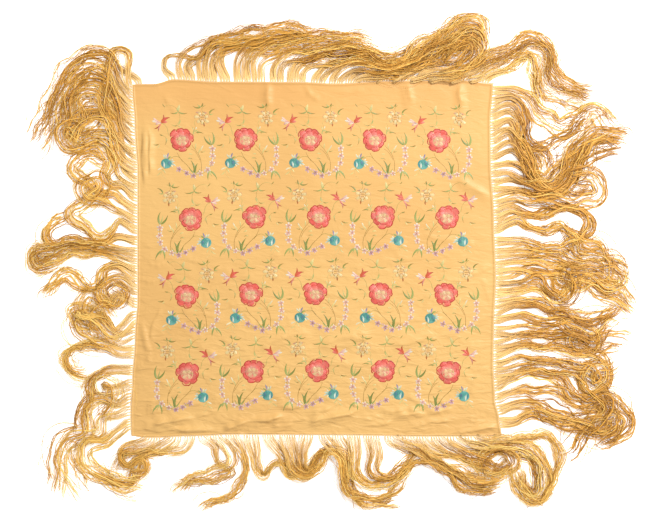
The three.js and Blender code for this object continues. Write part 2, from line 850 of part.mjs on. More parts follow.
// A side's fringe: its locks, one or two to a hank, fused at their roots into the heading
function fringeGeometry(side) {
  let solid = toSolid(headingGeometry(side));
  for (const hank of hanks[side]) {
    const count = Math.max(1, Math.round(hank.wide / lock.pitch));
    const wide = Math.min(lock.widest, hank.wide * lock.fill / count);
    const high = clamp(wide * lock.highShare, lock.lowest, lock.highest);
    for (let i = 0; i < count; i++) {
      const across = (2 * i + 1 - count) / count;
      const points = layDown(stepped(lockRun(side, hank, across)), wide / 2, high);
      solid = solid.add(toSolid(lockGeometry(points, wide / 2, high)));
    }
  }
  return toGeometry(solid);
}

function named(name, geometry, finish) {
  geometry.computeVertexNormals();
  const mesh = new THREE.Mesh(geometry, new THREE.MeshStandardMaterial(finish));
  mesh.name = name;
  return mesh;
}

const shawl = new THREE.Group();
shawl.add(named('panel', welded(panelGeometry()), silk));
for (const side of Object.keys(sides)) shawl.add(named(`fringe_${side}`, fringeGeometry(side), thread));

export default shawl;
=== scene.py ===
# An embroidered silk shawl with a long knotted fringe, laid out flat on a pale floor.
# The tables are in millimetres, as a maker measures them, from the centre of the cloth: x to the right and
# y towards the far edge.
# Meshes are in Blender's metres, in the same frame as the CAD model that is loaded first.
import math

import bmesh
import bpy
import numpy as np
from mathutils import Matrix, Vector
from mathutils.bvhtree import BVHTree


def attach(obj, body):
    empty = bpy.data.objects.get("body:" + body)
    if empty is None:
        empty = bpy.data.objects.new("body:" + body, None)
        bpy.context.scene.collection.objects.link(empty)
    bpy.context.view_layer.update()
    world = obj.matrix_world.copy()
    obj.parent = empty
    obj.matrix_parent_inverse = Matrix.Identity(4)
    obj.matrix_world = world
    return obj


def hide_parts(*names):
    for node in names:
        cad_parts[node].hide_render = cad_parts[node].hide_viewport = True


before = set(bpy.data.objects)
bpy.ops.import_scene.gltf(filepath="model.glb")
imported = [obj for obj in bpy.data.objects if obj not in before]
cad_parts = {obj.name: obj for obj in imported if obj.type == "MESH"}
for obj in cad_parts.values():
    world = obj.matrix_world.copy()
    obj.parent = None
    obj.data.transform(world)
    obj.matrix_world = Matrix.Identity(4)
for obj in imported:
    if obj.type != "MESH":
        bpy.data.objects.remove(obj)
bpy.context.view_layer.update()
mm = 0.001
collection = bpy.context.scene.collection


# Camera, floor and light
print("shawl: camera, floor and light")

studio = {
    "viewWide": 1982.5,  # how much floor the picture takes in from side to side
    "viewMiddle": (29, -7.6),
    "cameraHigh": 4000,
    "sensorWide": 36,
    "floorWide": 12000,
    "floorBelow": 0.6,  # the floor lies this much under the cloth
    "floorTone": (0.93, 0.93, 0.93, 1),
    "floorGlow": 0.42,  # lifts the floor in the shadows to white
    "skyTone": (1.0, 1.0, 1.0, 1),
    "skyStrength": 0.74,
    "lampPlace": (3150, 2650, 4350),
    "lampWide": 1600,
    "lampPower": 474,
    "lightLevel": 1.55,  # how much brighter than its own colour a thing looks in this light
}


def addCamera():
    x, y = studio["viewMiddle"]
    camera = bpy.data.objects.new("camera", bpy.data.cameras.new("camera"))
    camera.data.sensor_width = studio["sensorWide"]
    camera.data.lens = studio["sensorWide"] * studio["cameraHigh"] / studio["viewWide"]
    camera.location = (x * mm, y * mm, studio["cameraHigh"] * mm)  # unturned, a camera looks straight down
    collection.objects.link(camera)
    bpy.context.scene.camera = camera


def addFloor():
    bm = bmesh.new()
    bmesh.ops.create_grid(bm, x_segments=1, y_segments=1, size=studio["floorWide"] * mm / 2)
    bmesh.ops.translate(bm, verts=bm.verts, vec=(0, 0, -studio["floorBelow"] * mm))
    floor = meshObject("floor", bm)
    finish = newMaterial("floor")
    finish["shader"].inputs["Base Color"].default_value = studio["floorTone"]
    finish["shader"].inputs["Emission Color"].default_value = studio["skyTone"]
    finish["shader"].inputs["Emission Strength"].default_value = studio["floorGlow"]
    finish["shader"].inputs["Roughness"].default_value = 0.9
    finish["shader"].inputs["Specular IOR Level"].default_value = 0.0
    floor.data.materials.append(finish["material"])


def addLight():
    world = bpy.data.worlds.new("studio")
    world.use_nodes = True
    sky = world.node_tree.nodes["Background"]
    sky.inputs["Color"].default_value = studio["skyTone"]
    sky.inputs["Strength"].default_value = studio["skyStrength"]
    bpy.context.scene.world = world
    lamp = bpy.data.objects.new("softbox", bpy.data.lights.new("softbox", "AREA"))
    lamp.data.size = studio["lampWide"] * mm
    lamp.data.energy = studio["lampPower"]
    place = Vector(studio["lampPlace"]) * mm
    lamp.location = place
    lamp.rotation_euler = (-place).to_track_quat("-Z", "Y").to_euler()
    collection.objects.link(lamp)
    bpy.context.scene.view_settings.view_transform = "Standard"


# Small helpers
def meshObject(name, bm):
    mesh = bpy.data.meshes.new(name)
    bm.to_mesh(mesh)
    bm.free()
    made = bpy.data.objects.new(name, mesh)
    collection.objects.link(made)
    return made


def newMaterial(name):
    material = bpy.data.materials.new(name)
    material.use_nodes = True
    nodes = material.node_tree.nodes
    return {"material": material, "nodes": nodes, "links": material.node_tree.links,
            "shader": nodes["Principled BSDF"]}


def eased(value, low, high):
    share = np.clip((np.asarray(value, float) - low) / (high - low), 0, 1)
    return share * share * (3 - 2 * share)


def fromPicture(red, green, blue):
    # a colour as a picture shows it in this light, 0 to 255, turned into Blender's linear one
    levels = np.array([red, green, blue]) / 255
    linear = np.where(levels <= 0.04045, levels / 12.92, ((levels + 0.055) / 1.055) ** 2.4)
    return tuple(linear / studio["lightLevel"]) + (1.0,)


def smoothPath(places, spacing):
    # a smooth curve through the places, cut into even steps
    points = np.array(places, float)
    points = np.vstack([2 * points[0] - points[1], points, 2 * points[-1] - points[-2]])
    fine = []
    for a, b, c, d in zip(points, points[1:], points[2:], points[3:]):
        knotB = np.linalg.norm(b - a) ** 0.5
        knotC = knotB + np.linalg.norm(c - b) ** 0.5
        knotD = knotC + np.linalg.norm(d - c) ** 0.5
        t = np.linspace(knotB, knotC, 24, endpoint=False)[:, None]
        ab = a + (b - a) * t / knotB
        bc = b + (c - b) * (t - knotB) / (knotC - knotB)
        cd = c + (d - c) * (t - knotC) / (knotD - knotC)
        abc = ab + (bc - ab) * t / knotC
        bcd = bc + (cd - bc) * (t - knotB) / (knotD - knotB)
        fine.append(abc + (bcd - abc) * (t - knotB) / (knotC - knotB))
    fine = np.vstack(fine + [points[-2:-1]])
    reached = np.concatenate([[0], np.cumsum(np.linalg.norm(np.diff(fine, axis=0), axis=1))])
    even = np.linspace(0, reached[-1], max(2, round(reached[-1] / spacing)) + 1)
    return np.column_stack([np.interp(even, reached, fine[:, i]) for i in range(2)])


def addLine(curve, x, y, z):
    # a line through places in millimetres
    line = curve.splines.new("POLY")
    line.points.add(len(x) - 1)
    line.points.foreach_set("co", np.column_stack([x * mm, y * mm, z * mm, np.ones(len(x))]).ravel())
    return line


def meshFromCurve(curve):
    wire = bpy.data.objects.new(curve.name + "Lines", curve)
    collection.objects.link(wire)
    mesh = bpy.data.meshes.new_from_object(wire.evaluated_get(bpy.context.evaluated_depsgraph_get()))
    bpy.data.objects.remove(wire)
    bpy.data.curves.remove(curve)
    return mesh


# The cloth
cloth = {
    "halfWide": 550,
    "halfDeep": 540,
    "thick": 1.2,
    "bend": 160,  # how far in from the edge its uneven outline bends the weave
    "cell": 5.6,  # the size of the mesh's cells
    "fineCell": 2.8,  # and their size in the creased margins, left and near, and how wide those are
    "fineWide": 92,
    "swell": 0.5,  # how unevenly it lies where it has no fold
}

hem = {"wide": 5, "edgeRise": 0.4, "crestRise": 1.1, "lines": (0, 0.9, 2.5, 4.1, 5)}

# Where each edge of the cloth runs: the distance along it, and its place
edges = {
    "left": [(-540, -561), (-460, -562), (-370, -557), (-250, -549), (-120, -541), (260, -541), (400, -549),
             (540, -557)],
    "right": [(-540, 566), (-490, 559), (-430, 546), (-320, 541), (-200, 543), (-60, 549), (120, 543),
              (300, 533), (420, 532), (540, 540)],
    "top": [(-550, 531), (-490, 531), (-430, 545), (-300, 538), (-50, 537), (60, 532), (220, 540),
            (440, 543), (550, 533)],
    "bottom": [(-550, -541), (-490, -545), (-380, -540), (-250, -535), (60, -537), (350, -541), (550, -540)],
}

# The broad folds: centre x and y, length, heading in degrees, half width, height
folds = [
    (-516, 322, 190, 91, 16, 4.0),
    (-519, -246, 130, 104, 15, 3.5),
    (-516, -326, 110, 28, 15, 3.5),
    (-436, -500, 150, 11, 17, 5.0),
    (-236, -510, 110, 26, 16, 4.5),
    (-140, -488, 130, 9, 15, 4.0),
    (-372, -524, 180, 1, 13, 4.0),
    (52, -490, 160, 12, 16, 5.0),
    (285, -479, 110, 8, 14, 3.5),
    (498, -524, 150, 11, 14, 5.0),
    (-92, -248, 170, 17, 34, 3.5),
    (94, -248, 170, 16, 34, 3.5),
    (300, -250, 150, 19, 34, 3.0),
    (105, -325, 170, 0, 36, 3.0),
    (-148, 500, 110, 91, 24, 2.5),
    (280, 498, 100, 100, 24, 2.5),
    (443, 482, 120, 95, 24, 3.0),
    (486, 206, 130, -29, 22, 3.5),
]

# The sharper creases along and beside them: two ends, how far the middle bows to the left, half width
# and height
creases = [
    ((-507, 388), (-506, 250), 3, 7, 6.6),
    ((-526, 380), (-523, 225), -3, 6, 5.0),
    ((-474, -157), (-506, -250), -5, 7, 2.8),
    ((-540, 35), (-448, 33), 3, 8, 1.8),
    ((-151, 536), (-150, 462), 3, 6, 4.0),
    ((-35, 529), (6, 480), -5, 6, 3.0),
    ((276, 531), (289, 474), 3, 6, 3.2),
    ((438, 531), (442, 470), -3, 6, 3.6),
    ((430, 238), (540, 176), 6, 8, 2.9),
    ((-158, -268), (-28, -228), 8, 8, 2.9),
    ((26, -268), (160, -228), 7, 8, 2.9),
    ((245, -268), (360, -230), -6, 8, 2.8),
    ((40, -327), (170, -324), 5, 8, 2.2),
    ((-494, -510), (-380, -489), 5, 8, 7.2),
    ((-275, -528), (-198, -495), 5, 8, 7.2),
    ((-198, -495), (-104, -482), -4, 8, 6.8),
    ((-14, -500), (108, -477), 6, 9, 7.8),
    ((108, -477), (129, -444), -4, 7, 5.0),
    ((-440, -531), (-304, -527), 4, 7, 5.6),
    ((-203, -530), (-90, -522), -4, 6, 4.8),
    ((246, -484), (322, -472), 4, 8, 5.5),
    ((428, -540), (556, -514), 6, 8, 6.0),
    ((-548, -342), (-480, -298), 5, 7, 2.9),
    ((-360, -486), (-300, -470), 3, 6, 3.3),
    ((150, -510), (235, -500), -3, 6, 3.4),
    ((330, -505), (420, -498), 4, 6, 3.4),
    ((-470, 498), (-430, 440), 3, 7, 1.8),
    ((60, 505), (150, 512), -3, 7, 1.5),
    ((500, -60), (536, -150), 4, 7, 1.9),
    ((505, -330), (470, -420), -4, 7, 1.9),
    ((-430, 60), (-350, 78), 3, 7, 1.5),
    ((-80, 60), (10, 46), 3, 7, 1.4),
    ((330, 70), (420, 52), -3, 7, 1.5),
    ((-330, -60), (-250, -50), 3, 7, 1.4),
    ((150, -40), (240, -52), 3, 7, 1.4),
]

# Small wrinkles that run across the lower half, strewn by a fixed seed: how many, where and how large
wrinkles = {"count": 170, "seed": 11, "left": -520, "right": 520, "low": -530, "high": 40, "long": (24, 80),
            "wide": (6, 10), "rise": (0.8, 2.4), "slope": 16, "margin": -425, "marginRise": 1.5}


def edgeAt(side, along):
    # the edge's place at a distance along it, eased from row to row
    rows = np.array(edges[side], float)
    along = np.asarray(along, float)
    nextRow = np.clip(np.searchsorted(rows[:, 0], along), 1, len(rows) - 1)
    before, after = rows[nextRow - 1], rows[nextRow]
    share = eased((along - before[..., 0]) / (after[..., 0] - before[..., 0]), 0, 1)
    return before[..., 1] + (after[..., 1] - before[..., 1]) * share


def laidPlace(x, y):
    # a point of the square cut moved to where it lies, so that the outline is the real one
    halfWide, halfDeep, bend = cloth["halfWide"], cloth["halfDeep"], cloth["bend"]
    left = (edgeAt("left", y) + halfWide) * (1 - eased(x + halfWide, 0, bend))
    right = (edgeAt("right", y) - halfWide) * (1 - eased(halfWide - x, 0, bend))
    bottom = (edgeAt("bottom", x) + halfDeep) * (1 - eased(y + halfDeep, 0, bend))
    top = (edgeAt("top", x) - halfDeep) * (1 - eased(halfDeep - y, 0, bend))
    return x + left + right, y + bottom + top


def foldHeight(x, y):
    most = np.zeros_like(x)
    for foldX, foldY, length, turn, wide, high in folds:
        turned = math.radians(turn)
        along = (x - foldX) * math.cos(turned) + (y - foldY) * math.sin(turned)
        aside = -(x - foldX) * math.sin(turned) + (y - foldY) * math.cos(turned)
        over = np.clip(1 - (aside / wide) ** 2, 0, None)
        on = np.clip(1 - (2 * along / length) ** 2, 0, None)
        most = np.maximum(most, high * over * over * on)
    return most


def creaseHeight(x, y, start, end, bow, wide, high):
    # a soft ridge, sharper on one side, that fades at both ends
    start, end = np.array(start, float), np.array(end, float)
    length = np.linalg.norm(end - start)
    way = (end - start) / length
    along = ((x - start[0]) * way[0] + (y - start[1]) * way[1]) / length
    aside = -(x - start[0]) * way[1] + (y - start[1]) * way[0]
    aside = aside - bow * 4 * along * (1 - along) - 1.5 * np.sin(along * 9)
    steep = np.where(aside > 0, wide * 1.7, wide * 0.5)
    fade = eased(along, -0.1, 0.16) * (1 - eased(along, 0.82, 1.1))
    return high * np.exp(-(aside / steep) ** 2) * fade * (0.8 + 0.2 * np.sin(along * 14 + bow))


def strewnWrinkles():
    chance = np.random.default_rng(wrinkles["seed"])
    rows = []
    for _ in range(wrinkles["count"]):
        x = chance.uniform(wrinkles["left"], wrinkles["right"])
        y = wrinkles["low"] + (wrinkles["high"] - wrinkles["low"]) * chance.uniform(0, 1) ** 1.5
        turn = math.radians(chance.normal(4, wrinkles["slope"]))
        half = chance.uniform(*wrinkles["long"]) / 2
        reach = np.array([math.cos(turn), math.sin(turn)]) * half
        high = chance.uniform(*wrinkles["rise"]) * (wrinkles["marginRise"] if y < wrinkles["margin"] else 1)
        rows.append(((x - reach[0], y - reach[1]), (x + reach[0], y + reach[1]), chance.uniform(-4, 4),
                     chance.uniform(*wrinkles["wide"]), high))
    return rows


def swell(x, y):
    # the slow rise and fall of cloth that lies loose
    waves = [(0.021, 0.013, 0.4), (0.034, -0.027, 2.1), (-0.012, 0.046, 4.0), (0.058, 0.031, 1.2),
             (-0.041, 0.072, 5.3)]
    total = sum(np.sin(x * kx + y * ky + phase) for kx, ky, phase in waves)
    return cloth["swell"] * (1 + total / len(waves))


def lieHeight(x, y):
    # how high the cloth's underside lies over the floor
    height = foldHeight(x, y) + swell(x, y)
    for crease in creases + strewnWrinkles():
        height = height + creaseHeight(x, y, *crease)
    inFromEdge = np.minimum.reduce([x - edgeAt("left", y), edgeAt("right", y) - x,
                                    y - edgeAt("bottom", x), edgeAt("top", x) - y])
    return height * (0.45 + 0.55 * eased(inFromEdge, 0, 30))


def weaveLines(half):
    inner = half - hem["wide"]
    fineEnd = cloth["fineWide"] - inner
    fine = np.linspace(-inner, fineEnd, round(cloth["fineWide"] / cloth["fineCell"]) + 1)[1:]
    broad = np.linspace(fineEnd, inner, round((inner - fineEnd) / cloth["cell"]) + 1)[1:-1]
    lowHem = [line - half for line in hem["lines"]]
    highHem = [half - line for line in reversed(hem["lines"])]
    return np.array([*lowHem, *fine, *broad, *highHem])


def hemRise(depth):
    # the rolled hem's round back, and nothing further in
    crest = np.sqrt(np.clip(1 - (2 * depth / hem["wide"] - 1) ** 2, 0, 1))
    outer = hem["edgeRise"] + (hem["crestRise"] - hem["edgeRise"]) * crest
    return np.where(depth < hem["wide"] / 2, outer, hem["crestRise"] * crest)


def makeCloth():
    columns, rows = weaveLines(cloth["halfWide"]), weaveLines(cloth["halfDeep"])
    wide, deep = len(columns) - 1, len(rows) - 1
    bm = bmesh.new()
    bmesh.ops.create_grid(bm, x_segments=wide, y_segments=deep, size=1)
    flat = np.array([vert.co[:2] for vert in bm.verts])
    x = columns[np.rint((flat[:, 0] + 1) / 2 * wide).astype(int)]
    y = rows[np.rint((flat[:, 1] + 1) / 2 * deep).astype(int)]
    depth = np.minimum(cloth["halfWide"] - np.abs(x), cloth["halfDeep"] - np.abs(y))
    laidX, laidY = laidPlace(x, y)
    z = lieHeight(laidX, laidY) + cloth["thick"] + np.where(depth < hem["wide"], hemRise(depth), 0)
    for vert, place in zip(bm.verts, np.column_stack([laidX, laidY, z]) * mm):
        vert.co = place
    for face in bm.faces:
        face.smooth = True
    piece = meshObject("silkPanel", bm)
    wall = piece.modifiers.new("wall", "SOLIDIFY")
    wall.thickness = cloth["thick"] * mm
    wall.offset = -1  # the wall grows down from the face that shows
    return piece


# The fringe, combed by hand into hanks: the middle and width of a hank's roots along the edge, its own
# width, and the places that it passes through
hanks = {
    "top": [
        {"at": -538, "span": 22, "wide": 14, "via": [(-562, 562), (-598, 580), (-618, 622), (-668, 634),
            (-730, 596), (-768, 540)]},
        {"at": -437, "span": 26, "wide": 10, "via": [(-462, 578), (-458, 614), (-418, 620), (-372, 612),
            (-318, 650), (-240, 672)]},
        {"at": -392, "span": 56, "wide": 26, "via": [(-402, 590), (-372, 624), (-315, 656), (-240, 673),
            (-160, 684)]},
        {"at": -330, "span": 62, "wide": 36, "via": [(-330, 600), (-308, 640), (-240, 658), (-165, 676),
            (-85, 690), (-10, 672)]},
        {"at": -274, "span": 34, "wide": 18, "via": [(-289, 600), (-275, 638), (-215, 645), (-130, 664),
            (-40, 678)]},
        {"at": -222, "span": 54, "wide": 38, "via": [(-222, 600), (-196, 632), (-130, 646), (-50, 662),
            (50, 668), (130, 655)]},
        {"at": -172, "span": 42, "wide": 34, "via": [(-172, 590), (-150, 614), (-90, 630), (-10, 648),
            (80, 652), (165, 632)]},
        {"at": -118, "span": 46, "wide": 24, "via": [(-116, 580), (-90, 604), (-20, 622), (60, 632),
            (140, 632), (210, 612)]},
        {"at": -58, "span": 60, "wide": 40, "via": [(-52, 575), (-20, 600), (50, 612), (120, 618),
            (190, 604), (250, 606), (310, 636)]},
        {"at": 8, "span": 46, "wide": 16, "via": [(38, 580), (90, 596), (150, 606), (210, 590),
            (270, 600), (340, 640), (400, 672)]},
        {"at": 62, "span": 44, "wide": 18, "via": [(88, 570), (130, 584), (190, 576), (250, 578),
            (310, 604), (380, 640), (440, 664)]},
        {"at": 112, "span": 44, "wide": 24, "via": [(140, 562), (200, 562), (262, 566), (320, 592),
            (380, 660), (420, 712), (462, 738)]},
        {"at": 168, "span": 50, "wide": 26, "via": [(200, 566), (262, 584), (330, 655), (400, 690),
            (450, 722), (500, 712), (517, 650)]},
        {"at": 222, "span": 46, "wide": 24, "via": [(250, 562), (310, 586), (390, 620), (462, 650),
            (500, 690), (455, 700), (410, 668)]},
        {"at": 276, "span": 50, "wide": 24, "via": [(310, 562), (370, 575), (440, 590), (500, 640),
            (480, 680), (430, 650)]},
        {"at": 334, "span": 52, "wide": 22, "via": [(370, 560), (430, 572), (485, 610), (470, 660),
            (420, 640), (385, 605)]},
        {"at": 396, "span": 56, "wide": 28, "via": [(430, 560), (490, 580), (545, 610), (600, 636),
            (655, 668), (704, 640), (722, 570), (775, 518), (832, 500)]},
        {"at": 456, "span": 50, "wide": 32, "via": [(490, 560), (545, 585), (600, 612), (650, 640),
            (688, 622), (694, 560), (715, 510), (780, 492), (835, 470)]},
        {"at": 510, "span": 40, "wide": 22, "via": [(530, 562), (570, 580), (620, 606), (660, 612),
            (670, 570), (676, 520), (692, 474)]},
    ],
    "right": [
        {"at": 512, "span": 30, "wide": 22, "via": [(600, 512), (648, 484), (690, 434), (745, 398),
            (800, 418), (842, 452), (884, 408)]},
        {"at": 478, "span": 34, "wide": 16, "via": [(595, 494), (630, 466), (643, 410), (658, 350),
            (705, 352), (765, 385), (820, 432)]},
        {"at": 440, "span": 36, "wide": 14, "via": [(595, 458), (620, 425), (628, 370), (655, 330),
            (692, 316), (702, 268)]},
        {"at": 402, "span": 34, "wide": 12, "via": [(590, 420), (612, 385), (622, 340), (655, 300),
            (672, 245), (705, 212)]},
        {"at": 364, "span": 36, "wide": 12, "via": [(588, 386), (612, 350), (640, 310), (656, 262),
            (680, 225), (722, 192), (770, 180)]},
        {"at": 318, "span": 44, "wide": 16, "via": [(595, 340), (632, 305), (652, 262), (675, 222),
            (720, 205), (768, 228), (800, 290), (832, 352)]},
        {"at": 270, "span": 46, "wide": 20, "via": [(598, 276), (645, 246), (695, 228), (740, 260),
            (795, 302), (850, 334), (928, 350)]},
        {"at": 222, "span": 44, "wide": 22, "via": [(600, 228), (660, 208), (722, 206), (765, 245),
            (790, 320), (850, 376), (940, 367)]},
        {"at": 176, "span": 40, "wide": 20, "via": [(600, 190), (665, 184), (730, 188), (800, 177),
            (858, 196), (842, 244), (792, 240)]},
        {"at": 132, "span": 40, "wide": 14, "via": [(600, 150), (655, 126), (710, 138), (765, 160),
            (808, 140), (832, 100), (800, 62), (765, 45)]},
        {"at": 92, "span": 36, "wide": 14, "via": [(610, 120), (660, 98), (705, 84), (745, 103),
            (778, 78), (818, 54), (864, 42), (888, 15)]},
        {"at": 52, "span": 34, "wide": 16, "via": [(610, 54), (670, 40), (735, 30), (790, 54), (806, 20),
            (850, 3), (896, -16), (892, -56), (845, -66)]},
        {"at": 15, "span": 36, "wide": 20, "via": [(615, 20), (680, 14), (745, 14), (790, -12),
            (850, -4), (905, -12), (944, -32)]},
        {"at": -28, "span": 44, "wide": 24, "via": [(615, -22), (690, -32), (755, -40), (820, -56),
            (880, -92), (930, -115), (967, -147)]},
        {"at": -70, "span": 36, "wide": 14, "via": [(615, -65), (660, -42), (698, -58), (715, -95),
            (755, -115), (785, -80), (762, -45), (815, -38)]},
        {"at": -106, "span": 32, "wide": 12, "via": [(615, -98), (680, -94), (740, -114), (788, -85),
            (840, -65), (895, -90), (932, -68), (905, -48)]},
        {"at": -140, "span": 32, "wide": 12, "via": [(615, -125), (685, -130), (745, -160), (800, -178),
            (860, -172), (912, -145)]},
        {"at": -180, "span": 42, "wide": 18, "via": [(610, -165), (680, -178), (745, -182), (795, -212),
            (845, -225), (902, -197)]},
        {"at": -224, "span": 40, "wide": 22, "via": [(620, -222), (700, -222), (780, -208), (842, -228),
            (830, -272), (785, -258), (795, -226)]},
        {"at": -266, "span": 38, "wide": 24, "via": [(620, -252), (700, -250), (770, -248), (840, -270),
            (890, -256), (940, -258)]},
        {"at": -310, "span": 46, "wide": 28, "via": [(620, -290), (700, -296), (780, -306), (850, -326),
            (872, -366), (838, -384), (850, -340), (905, -334)]},
        {"at": -352, "span": 38, "wide": 18, "via": [(620, -336), (690, -322), (760, -334), (815, -360),
            (860, -400), (896, -450), (872, -490)]},
        {"at": -390, "span": 34, "wide": 14, "via": [(620, -356), (690, -356), (750, -384), (790, -430),
            (850, -430), (908, -442), (950, -495), (935, -530), (890, -546)]},
        {"at": -426, "span": 34, "wide": 22, "via": [(625, -396), (690, -402), (760, -416), (820, -445),
            (884, -434), (858, -492), (810, -550), (778, -600)]},
        {"at": -462, "span": 34, "wide": 22, "via": [(625, -440), (690, -448), (740, -480), (800, -500),
            (860, -482), (912, -474), (908, -522), (862, -548)]},
        {"at": -500, "span": 36, "wide": 14, "via": [(612, -498), (660, -476), (710, -492), (770, -504),
            (830, -522), (880, -540), (918, -500)]},
    ],
    "bottom": [
        {"at": 532, "span": 44, "wide": 34, "via": [(570, -556), (640, -548), (705, -538), (738, -590),
            (728, -660), (690, -724), (640, -712), (628, -650)]},
        {"at": 478, "span": 50, "wide": 34, "via": [(520, -562), (590, -566), (650, -580), (695, -630),
            (700, -700), (660, -730), (625, -700), (606, -640)]},
        {"at": 424, "span": 50, "wide": 26, "via": [(455, -566), (520, -582), (590, -584), (650, -606),
            (682, -660), (668, -712), (630, -690)]},
        {"at": 372, "span": 44, "wide": 22, "via": [(400, -572), (450, -592), (510, -614), (560, -640),
            (600, -622), (564, -592), (520, -604), (512, -650)]},
        {"at": 326, "span": 40, "wide": 22, "via": [(350, -576), (400, -602), (455, -614), (505, -644),
            (555, -656), (592, -636)]},
        {"at": 282, "span": 40, "wide": 24, "via": [(308, -575), (355, -602), (405, -632), (462, -658),
            (530, -668), (566, -640)]},
        {"at": 232, "span": 48, "wide": 20, "via": [(268, -568), (322, -588), (372, -618), (430, -660),
            (495, -684), (550, -684)]},
        {"at": 170, "span": 54, "wide": 24, "via": [(180, -590), (183, -645), (216, -668), (262, -640),
            (308, -602), (355, -612), (405, -650), (450, -690), (535, -698)]},
        {"at": 116, "span": 44, "wide": 16, "via": [(122, -592), (120, -650), (156, -684), (215, -684),
            (270, -654), (298, -612)]},
        {"at": 68, "span": 38, "wide": 22, "via": [(92, -588), (99, -650), (107, -705), (152, -740),
            (210, -750), (245, -740)]},
        {"at": 26, "span": 36, "wide": 16, "via": [(54, -574), (84, -606), (84, -665), (103, -712),
            (170, -726), (222, -718), (256, -680)]},
        {"at": -28, "span": 48, "wide": 22, "via": [(-42, -590), (-42, -636), (-8, -640), (12, -602),
            (50, -586), (86, -626), (94, -700), (144, -756)]},
        {"at": -86, "span": 52, "wide": 34, "via": [(-75, -585), (-60, -630), (-26, -654), (6, -622),
            (44, -584), (84, -602), (92, -660)]},
        {"at": -142, "span": 44, "wide": 24, "via": [(-122, -575), (-92, -612), (-70, -656), (-34, -664),
            (-6, -636), (14, -600)]},
        {"at": -196, "span": 50, "wide": 16, "via": [(-187, -588), (-186, -640), (-158, -664),
            (-126, -630), (-98, -628), (-84, -664), (-52, -668)]},
        {"at": -254, "span": 44, "wide": 26, "via": [(-225, -582), (-210, -635), (-228, -692),
            (-285, -738), (-342, -756)]},
        {"at": -304, "span": 38, "wide": 20, "via": [(-270, -578), (-262, -620), (-320, -648),
            (-380, -668), (-420, -704)]},
        {"at": -344, "span": 32, "wide": 12, "via": [(-306, -572), (-300, -620), (-250, -652),
            (-310, -678), (-405, -684)]},
        {"at": -382, "span": 36, "wide": 22, "via": [(-400, -580), (-460, -592), (-530, -586),
            (-590, -605), (-604, -640)]},
        {"at": -430, "span": 48, "wide": 22, "via": [(-466, -576), (-520, -600), (-548, -640),
            (-565, -688), (-620, -680), (-655, -655)]},
        {"at": -498, "span": 54, "wide": 16, "via": [(-535, -574), (-588, -590), (-575, -626),
            (-530, -612), (-512, -640), (-545, -668)]},
    ],
    "left": [
        {"at": 522, "span": 22, "wide": 16, "via": [(-575, 575), (-578, 622), (-608, 628), (-622, 580),
            (-632, 520), (-642, 450)]},
        {"at": 494, "span": 30, "wide": 28, "via": [(-600, 545), (-640, 608), (-700, 612), (-755, 562),
            (-788, 500), (-815, 430), (-866, 352)]},
        {"at": 460, "span": 34, "wide": 26, "via": [(-600, 510), (-640, 582), (-700, 586), (-752, 536),
            (-778, 475), (-790, 410)]},
        {"at": 424, "span": 34, "wide": 22, "via": [(-600, 466), (-645, 530), (-700, 556), (-745, 520),
            (-770, 455), (-822, 388)]},
        {"at": 388, "span": 34, "wide": 24, "via": [(-598, 430), (-645, 484), (-705, 494), (-735, 450),
            (-695, 420), (-658, 448)]},
        {"at": 345, "span": 40, "wide": 22, "via": [(-598, 385), (-620, 445), (-655, 516), (-700, 520),
            (-735, 480), (-728, 430)]},
        {"at": 290, "span": 60, "wide": 20, "via": [(-594, 325), (-606, 385), (-632, 430), (-680, 440),
            (-728, 410), (-756, 362)]},
        {"at": 232, "span": 44, "wide": 20, "via": [(-592, 262), (-602, 315), (-625, 360), (-680, 375),
            (-742, 350), (-768, 388), (-718, 402)]},
        {"at": 188, "span": 34, "wide": 20, "via": [(-588, 222), (-622, 222), (-645, 250), (-624, 300),
            (-652, 342), (-715, 342), (-765, 362)]},
        {"at": 150, "span": 32, "wide": 16, "via": [(-590, 180), (-615, 202), (-660, 208), (-705, 236),
            (-738, 278), (-700, 308), (-645, 300)]},
        {"at": 118, "span": 26, "wide": 20, "via": [(-600, 146), (-640, 168), (-690, 184), (-708, 222),
            (-664, 250), (-650, 210), (-684, 168)]},
        {"at": 88, "span": 30, "wide": 18, "via": [(-598, 118), (-622, 94), (-660, 72), (-706, 100),
            (-738, 136), (-705, 156), (-660, 184)]},
        {"at": 54, "span": 32, "wide": 12, "via": [(-605, 66), (-650, 46), (-720, 50), (-790, 44),
            (-816, 72), (-800, 115), (-764, 130)]},
        {"at": 20, "span": 32, "wide": 18, "via": [(-610, 30), (-690, 33), (-755, 38), (-815, 18),
            (-868, 0), (-845, -26), (-795, -15)]},
        {"at": -16, "span": 36, "wide": 18, "via": [(-610, 4), (-690, 14), (-750, 20), (-800, -12),
            (-850, -20), (-862, 14), (-820, 36)]},
        {"at": -55, "span": 36, "wide": 16, "via": [(-602, -22), (-645, -36), (-662, -84), (-706, -88),
            (-760, -53), (-824, -106)]},
        {"at": -95, "span": 36, "wide": 16, "via": [(-590, -64), (-630, -68), (-646, -110), (-605, -140),
            (-584, -108), (-612, -88)]},
        {"at": -136, "span": 34, "wide": 22, "via": [(-598, -114), (-640, -140), (-690, -112),
            (-714, -150), (-680, -182), (-645, -150), (-618, -192)]},
        {"at": -178, "span": 40, "wide": 20, "via": [(-580, -206), (-612, -228), (-642, -190),
            (-700, -160), (-744, -158), (-722, -192), (-665, -196)]},
        {"at": -226, "span": 40, "wide": 22, "via": [(-594, -242), (-632, -222), (-668, -182),
            (-718, -190), (-702, -226), (-650, -250)]},
        {"at": -284, "span": 46, "wide": 10, "via": [(-600, -285), (-642, -264), (-710, -266),
            (-758, -300), (-740, -340), (-698, -350)]},
        {"at": -340, "span": 36, "wide": 10, "via": [(-598, -338), (-645, -342), (-682, -372),
